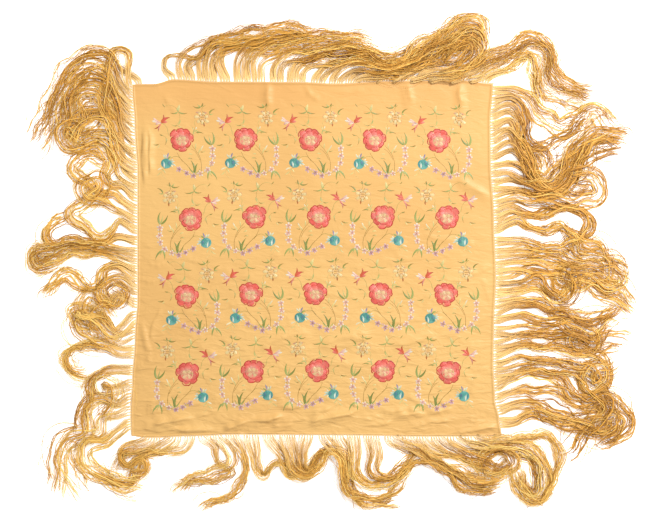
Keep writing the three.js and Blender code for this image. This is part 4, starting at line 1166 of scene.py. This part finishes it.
def stitchStems(needle):
    stem(needle, [(61, -98), (62, -76), (56, -52), (44, -32), (32, -18)], 2.2, ("stem", "bronze"))
    stem(needle, [(57, -62), (50, -48), (40, -36), (30, -29)], 1.8, ("bronze", "stem"))
    stem(needle, [(30, -97), (20, -81), (2, -64), (-6, -54), (-13, -39)], 2.2, ("stem", "bronze"))
    stem(needle, [(4, -66), (-8, -54), (-20, -52), (-34, -58)], 1.9, ("stem", "leaf"))
    satin(needle, (52, -44), (62, -26), 5, ("paleLeaf", "paleGold"), 0.08, "leaf")
    satin(needle, (60, -36), (68, -18), 5, ("paleGold", "white"), 0.10, "leaf")
    satin(needle, (58, -38), (72, -34), 4, ("bronze", "paleLeaf"), -0.14, "blade")
    satin(needle, (44, -30), (46, -11), 5, ("paleLeaf", "paleGold"), 0.08, "leaf")
    satin(needle, (34, -46), (22, -44), 5, ("paleLeaf", "paleGold"), -0.10, "leaf")
    satin(needle, (20, -58), (34, -60), 4.5, ("paleLeaf", "bronze"), 0.12, "blade")
    satin(needle, (36, 24), (52, 25), 5, ("paleLeaf", "freshLeaf"), 0.12, "leaf")
    satin(needle, (45, 21), (66, 18), 5.5, ("leaf", "bronze"), 0.10, "blade")
    stem(needle, [(36, 16), (44, 20), (52, 17)], 1.5, ("paleLeaf", "bronze"))


def stitchTendrils(needle):
    stem(needle, [(-64, 12), (-54, 12), (-46, 4), (-40, -6)], 1.8, ("bronze", "paleLeaf"))
    satin(needle, (-56, 12), (-66, 16), 4.5, ("leaf", "bronze"), 0.10, "blade")
    satin(needle, (-47, 5), (-51, -16), 4.5, ("paleLeaf", "bronze"), 0.12, "blade")
    satin(needle, (-68, -15), (-87, -17), 5, ("bronze", "leaf"), 0.12, "blade")
    satin(needle, (-66, -16), (-74, -26), 4, ("paleLeaf", "paleGold"), 0.10, "leaf")
    stem(needle, [(-44, 30), (-40, 22), (-38, 12)], 1.6, ("paleLeaf", "freshLeaf"))
    satin(needle, (-56, -88), (-73, -94), 6, ("paleGold", "white"), -0.10, "leaf")
    satin(needle, (-58, -90), (-48, -104), 5, ("paleLeaf", "paleGold"), 0.10, "leaf")
    satin(needle, (-62, -98), (-76, -108), 4.5, ("paleLeaf", "paleGold"), 0.10, "leaf")
    stem(needle, [(-52, -86), (-60, -98), (-56, -112), (-46, -120)], 1.5, ("paleLeaf", "paleGold"))


def stitchPomegranate(needle):
    for place, colours in [((-56, -45), ("freshLeaf", "white")), ((-47, -46), ("paleLeaf", "white")),
                           ((-38, -42), ("lilac", "dusk")), ((-30, -52), ("leaf", "freshLeaf"))]:
        satin(needle, (-44, -62), place, 7, colours, 0.05, "leaf")
    for place, colours in [((-19, -68), ("aqua", "white")), ((-17, -80), ("teal", "white")),
                           ((-26, -86), ("white", "paleGold")), ((-24, -60), ("leaf", "white"))]:
        satin(needle, (-36, -72), place, 7, colours, 0.08, "leaf")
    satin(needle, (-42, -58.5), (-50, -88.5), 33, ("teal", "teal", "aqua"), form="bead", level=2, rise=1.6,
          lanes=5, steps=8)
    satin(needle, (-46, -62), (-50, -80), 12, ("teal", "aqua"), 0.10, "leaf", level=4, steps=6)
    satin(needle, (-55, -66), (-53, -87), 8, ("aqua", "white", "white"), 0.12, "leaf", level=5)
    satin(needle, (-60, -66), (-58, -82), 4, ("teal", "dusk"), 0.15, "leaf", level=5)
    satin(needle, (-37, -66), (-36, -80), 8, ("dusk", "teal"), -0.10, "leaf", level=5)
    satin(needle, (-44, -74), (-46, -86), 3.5, ("aqua", "aqua"), 0.05, "leaf", level=5)


def stitchSpray(chance):
    # one whole spray, a little different each time, as handwork is
    bm = bmesh.new()
    needle = {"bm": bm, "chance": chance, "tint": bm.loops.layers.float_color.new("tint"),
              "flat": bm.loops.layers.uv.new("threads")}
    for stitch in (stitchStems, stitchTendrils, stitchTopSprig, stitchCreamFlower, stitchGarland,
                   stitchGrass, stitchLily, stitchPomegranate, stitchPeony):
        stitch(needle)
    return bm


def makeEmbroidery(panel):
    whole = bmesh.new()
    chance = np.random.default_rng(stitching["seed"])
    for row in sprays:
        for x, y in row["middles"]:
            bm = stitchSpray(chance)
            if row["turnedOver"]:
                bmesh.ops.scale(bm, verts=bm.verts, vec=(-1, 1, 1))
                bmesh.ops.reverse_faces(bm, faces=bm.faces)
            bmesh.ops.translate(bm, verts=bm.verts, vec=(x, y, 0))
            mesh = bpy.data.meshes.new("spray")
            bm.to_mesh(mesh)
            bm.free()
            whole.from_mesh(mesh)
            bpy.data.meshes.remove(mesh)
    surface = BVHTree.FromObject(panel, bpy.context.evaluated_depsgraph_get())
    down = Vector((0, 0, -1))
    for vert in whole.verts:
        over = Vector((vert.co.x * mm, vert.co.y * mm, 1))
        touched = surface.ray_cast(over, down)[0]
        vert.co = (over.x, over.y, touched.z + vert.co.z * mm)
    print(f"shawl: the embroidery has {len(whole.faces)} faces")
    return meshObject("embroidery", whole)


# Finishes
def addNode(finish, kind, **inputs):
    node = finish["nodes"].new(kind)
    for name, value in inputs.items():
        node.inputs[name].default_value = value
    return node


def weaveGroup():
    # a plain weave: how high each thread crossing is, and a painted shade that darkens the low parts between
    # the crossings
    group = bpy.data.node_groups.new("silkWeave", "ShaderNodeTree")
    group.interface.new_socket("Vector", in_out="INPUT", socket_type="NodeSocketVector")
    group.interface.new_socket("Pitch", in_out="INPUT", socket_type="NodeSocketFloat").default_value = 900
    group.interface.new_socket("Shade", in_out="OUTPUT", socket_type="NodeSocketFloat")
    group.interface.new_socket("Height", in_out="OUTPUT", socket_type="NodeSocketFloat")
    nodes, links = group.nodes, group.links
    given, put = nodes.new("NodeGroupInput"), nodes.new("NodeGroupOutput")
    ways = []
    for direction in ("X", "Y"):
        wave = nodes.new("ShaderNodeTexWave")
        wave.bands_direction = direction
        wave.inputs["Distortion"].default_value = 0.6
        wave.inputs["Detail"].default_value = 1.0
        links.new(given.outputs["Vector"], wave.inputs["Vector"])
        links.new(given.outputs["Pitch"], wave.inputs["Scale"])
        ways.append(wave)
    higher = nodes.new("ShaderNodeMath")
    higher.operation = "MAXIMUM"
    links.new(ways[0].outputs["Fac"], higher.inputs[0])
    links.new(ways[1].outputs["Fac"], higher.inputs[1])
    # painted shade: the lower the weave, the darker its colour
    shade = nodes.new("ShaderNodeMapRange")
    shade.inputs["To Min"].default_value = 0.94
    shade.inputs["To Max"].default_value = 1.02
    links.new(higher.outputs[0], shade.inputs["Value"])
    links.new(shade.outputs["Result"], put.inputs["Shade"])
    links.new(higher.outputs[0], put.inputs["Height"])
    return group


def threadGroup():
    # fine twisted threads side by side: how high each is, and a painted shade that darkens the grooves
    # between them
    group = bpy.data.node_groups.new("silkThreads", "ShaderNodeTree")
    group.interface.new_socket("Vector", in_out="INPUT", socket_type="NodeSocketVector")
    group.interface.new_socket("Threads", in_out="INPUT", socket_type="NodeSocketFloat").default_value = 8
    group.interface.new_socket("Contrast", in_out="INPUT", socket_type="NodeSocketFloat").default_value = 0.2
    group.interface.new_socket("Shade", in_out="OUTPUT", socket_type="NodeSocketFloat")
    group.interface.new_socket("Height", in_out="OUTPUT", socket_type="NodeSocketFloat")
    nodes, links = group.nodes, group.links
    given, put = nodes.new("NodeGroupInput"), nodes.new("NodeGroupOutput")
    wave = nodes.new("ShaderNodeTexWave")
    wave.bands_direction = "Y"
    wave.inputs["Distortion"].default_value = 1.2
    wave.inputs["Detail"].default_value = 2.0
    wave.inputs["Detail Scale"].default_value = 1.5
    links.new(given.outputs["Vector"], wave.inputs["Vector"])
    links.new(given.outputs["Threads"], wave.inputs["Scale"])
    # painted shade: darker where the threads lie deeper
    darker = nodes.new("ShaderNodeMath")
    darker.operation = "SUBTRACT"
    darker.inputs[0].default_value = 1.0
    depth = nodes.new("ShaderNodeMath")
    depth.operation = "SUBTRACT"
    depth.inputs[0].default_value = 1.0
    links.new(wave.outputs["Fac"], depth.inputs[1])
    scaled = nodes.new("ShaderNodeMath")
    scaled.operation = "MULTIPLY"
    links.new(depth.outputs[0], scaled.inputs[0])
    links.new(given.outputs["Contrast"], scaled.inputs[1])
    links.new(scaled.outputs[0], darker.inputs[1])
    links.new(darker.outputs[0], put.inputs["Shade"])
    links.new(wave.outputs["Fac"], put.inputs["Height"])
    return group


def placeGroup(finish, group, **inputs):
    node = finish["nodes"].new("ShaderNodeGroup")
    node.node_tree = group
    for name, value in inputs.items():
        node.inputs[name].default_value = value
    return node


def multiplied(finish, colour, shade):
    # a colour socket made lighter or darker by a value socket
    mix = finish["nodes"].new("ShaderNodeMix")
    mix.data_type = "RGBA"
    mix.blend_type = "MULTIPLY"
    mix.inputs[0].default_value = 1.0
    finish["links"].new(colour, mix.inputs[6])
    finish["links"].new(shade, mix.inputs[7])
    return mix.outputs[2]


def mapped(finish, value, given, wanted):
    # a value socket carried from one range to another
    node = addNode(finish, "ShaderNodeMapRange")
    for name, limit in zip(("From Min", "From Max", "To Min", "To Max"), (*given, *wanted)):
        node.inputs[name].default_value = limit
    finish["links"].new(value, node.inputs["Value"])
    return node.outputs["Result"]


def bumpFrom(finish, height, strength, distance):
    bump = addNode(finish, "ShaderNodeBump", Strength=strength, Distance=distance)
    finish["links"].new(height, bump.inputs["Height"])
    finish["links"].new(bump.outputs["Normal"], finish["shader"].inputs["Normal"])
    return bump


silk = {
    "light": (0.590, 0.352, 0.118, 1),
    "deep": (0.540, 0.300, 0.095, 1),
    "weavePitch": 900,
    "roughness": 0.46,
    "specular": 0.28,
    "slubScale": (5, 260, 1),
    "slubShade": (0.965, 1.03),
    "farTint": (0.975, 0.895, 0.850, 1),  # darker and more orange towards the far edge, over this stretch in metres
    "far": (0.38, 0.50),
    "crumpleScale": (17, 46, 1),
    "crumpleDeep": 0.0065,
    "crumpleFrom": (-0.45, 0.15),  # the near half is more crumpled: the stretch, and how much at its ends
    "crumpleShare": (1.0, 0.4),
}


def silkFinish(weave):
    finish = newMaterial("apricotSilk")
    nodes, links, shader = finish["nodes"], finish["links"], finish["shader"]
    place = nodes.new("ShaderNodeTexCoord")
    cloud = addNode(finish, "ShaderNodeTexNoise", Scale=1.6, Detail=3.0, Roughness=0.5)
    links.new(place.outputs["Object"], cloud.inputs["Vector"])
    ramp = nodes.new("ShaderNodeValToRGB")
    ramp.color_ramp.elements[0].position = 0.3
    ramp.color_ramp.elements[0].color = silk["deep"]
    ramp.color_ramp.elements[1].position = 0.56
    ramp.color_ramp.elements[1].color = silk["light"]
    links.new(cloud.outputs["Fac"], ramp.inputs["Fac"])
    threads = placeGroup(finish, weave, Pitch=silk["weavePitch"])
    links.new(place.outputs["Object"], threads.inputs["Vector"])
    slubWay = addNode(finish, "ShaderNodeMapping", Scale=silk["slubScale"])
    links.new(place.outputs["Object"], slubWay.inputs["Vector"])
    slub = addNode(finish, "ShaderNodeTexNoise", Scale=1.0, Detail=2.0)
    links.new(slubWay.outputs["Vector"], slub.inputs["Vector"])
    streak = mapped(finish, slub.outputs["Fac"], (0, 1), silk["slubShade"])
    # the weave's painted shade darkens the silk's colour in its hollows
    colour = multiplied(finish, ramp.outputs["Color"], threads.outputs["Shade"])
    colour = multiplied(finish, colour, streak)
    parts = nodes.new("ShaderNodeSeparateXYZ")
    links.new(place.outputs["Object"], parts.inputs["Vector"])
    # the silk's colour is made darker and more orange towards the far edge
    warm = nodes.new("ShaderNodeMix")
    warm.data_type = "RGBA"
    warm.inputs[6].default_value = (1, 1, 1, 1)
    warm.inputs[7].default_value = silk["farTint"]
    links.new(mapped(finish, parts.outputs["Y"], silk["far"], (0, 1)), warm.inputs[0])
    colour = multiplied(finish, colour, warm.outputs[2])
    links.new(colour, shader.inputs["Base Color"])
    crumpleWay = addNode(finish, "ShaderNodeMapping", Scale=silk["crumpleScale"])
    links.new(place.outputs["Object"], crumpleWay.inputs["Vector"])
    crumple = addNode(finish, "ShaderNodeTexNoise", Scale=1.0, Detail=3.0, Roughness=0.5, Distortion=0.9)
    links.new(crumpleWay.outputs["Vector"], crumple.inputs["Vector"])
    crumpled = mapped(finish, parts.outputs["Y"], silk["crumpleFrom"], silk["crumpleShare"])
    rise = nodes.new("ShaderNodeMath")
    rise.operation = "MULTIPLY"
    links.new(crumple.outputs["Fac"], rise.inputs[0])
    links.new(crumpled, rise.inputs[1])
    soft = bumpFrom(finish, rise.outputs[0], 0.8, silk["crumpleDeep"])
    fine = addNode(finish, "ShaderNodeBump", Strength=0.15, Distance=0.0002)
    links.new(threads.outputs["Height"], fine.inputs["Height"])
    links.new(fine.outputs["Normal"], soft.inputs["Normal"])
    shader.inputs["Roughness"].default_value = silk["roughness"]
    shader.inputs["Specular IOR Level"].default_value = silk["specular"]
    shader.inputs["Sheen Weight"].default_value = 0.12
    shader.inputs["Sheen Roughness"].default_value = 0.4
    shader.inputs["Sheen Tint"].default_value = (1.0, 0.86, 0.62, 1)
    return finish["material"]


thread = {
    "dark": (0.360, 0.148, 0.014, 1),
    "mid": (0.760, 0.395, 0.066, 1),
    "light": (0.920, 0.640, 0.190, 1),
    "pale": (0.860, 0.610, 0.280, 1),  # painted light: strands paler where they leave the cloth, for light shining through the thin strands there; how much of it, and how far out
    "paleShare": 0.8,
    "paleTo": 110,
    "tones": (-2.1, 2.1),  # the darkest and lightest strand's tone
    "roughness": 0.33,
}


def fringeFinish(threads):
    finish = newMaterial("goldenThread")
    nodes, links, shader = finish["nodes"], finish["links"], finish["shader"]
    tone = nodes.new("ShaderNodeAttribute")
    tone.attribute_name = "tone"
    ramp = nodes.new("ShaderNodeValToRGB")
    ramp.color_ramp.elements[0].position = 0.05
    ramp.color_ramp.elements[0].color = thread["dark"]
    ramp.color_ramp.elements[1].position = 0.95
    ramp.color_ramp.elements[1].color = thread["light"]
    middle = ramp.color_ramp.elements.new(0.5)
    middle.color = thread["mid"]
    links.new(mapped(finish, tone.outputs["Fac"], thread["tones"], (0, 1)), ramp.inputs["Fac"])
    reach = nodes.new("ShaderNodeAttribute")
    reach.attribute_name = "reach"
    # painted light: the strands' colour is mixed towards pale near the cloth, for light shining through them
    # there
    near = mapped(finish, reach.outputs["Fac"], (0, thread["paleTo"]), (thread["paleShare"], 0))
    mix = nodes.new("ShaderNodeMix")
    mix.data_type = "RGBA"
    mix.inputs[7].default_value = thread["pale"]
    links.new(near, mix.inputs[0])
    links.new(ramp.outputs["Color"], mix.inputs[6])
    flat = nodes.new("ShaderNodeTexCoord")
    twist = placeGroup(finish, threads, Threads=420, Contrast=0.12)
    links.new(flat.outputs["Object"], twist.inputs["Vector"])
    # the threads' painted shade darkens the strands' colour in the grooves between their threads
    links.new(multiplied(finish, mix.outputs[2], twist.outputs["Shade"]), shader.inputs["Base Color"])
    bumpFrom(finish, twist.outputs["Height"], 0.2, 0.0003)
    shader.inputs["Roughness"].default_value = thread["roughness"]
    shader.inputs["Specular IOR Level"].default_value = 0.28
    shader.inputs["Sheen Weight"].default_value = 0.03
    shader.inputs["Sheen Roughness"].default_value = 0.4
    return finish["material"]


def embroideryFinish(threads):
    finish = newMaterial("satinStitch")
    nodes, links, shader = finish["nodes"], finish["links"], finish["shader"]
    tint = nodes.new("ShaderNodeAttribute")
    tint.attribute_name = "tint"
    flat = nodes.new("ShaderNodeUVMap")
    flat.uv_map = "threads"
    strands = placeGroup(finish, threads, Threads=0.42, Contrast=0.2)
    links.new(flat.outputs["UV"], strands.inputs["Vector"])
    # the threads' painted shade darkens the stitches' colour in the grooves between them
    colour = multiplied(finish, tint.outputs["Color"], strands.outputs["Shade"])
    links.new(colour, shader.inputs["Base Color"])
    bumpFrom(finish, strands.outputs["Height"], 0.5, 0.0002)
    shader.inputs["Roughness"].default_value = 0.36
    shader.inputs["Specular IOR Level"].default_value = 0.35
    shader.inputs["Sheen Weight"].default_value = 0.1
    shader.inputs["Sheen Roughness"].default_value = 0.4
    return finish["material"]


# Puts the shawl together
addCamera()
addLight()
addFloor()
weave, threads = weaveGroup(), threadGroup()

print("shawl: the silk panel")
silkPanel = makeCloth()
silkPanel.data.materials.append(silkFinish(weave))
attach(silkPanel, "root")
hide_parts("panel")

print("shawl: the fringe")
fringePieces, tassels = makeFringe()
goldenThread = fringeFinish(threads)
for side, piece in fringePieces.items():
    piece.data.materials.append(goldenThread)
    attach(piece, "root")
    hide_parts("fringe_" + side)

print("shawl: the heading")
headingPiece = makeHeading(tassels)
headingPiece.data.materials.append(goldenThread)
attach(headingPiece, "root")
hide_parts(*["fringe_" + side for side in outward])

print("shawl: the embroidery")
embroidery = makeEmbroidery(silkPanel)
embroidery.data.materials.append(embroideryFinish(threads))
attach(embroidery, "root")

print("shawl: finished")
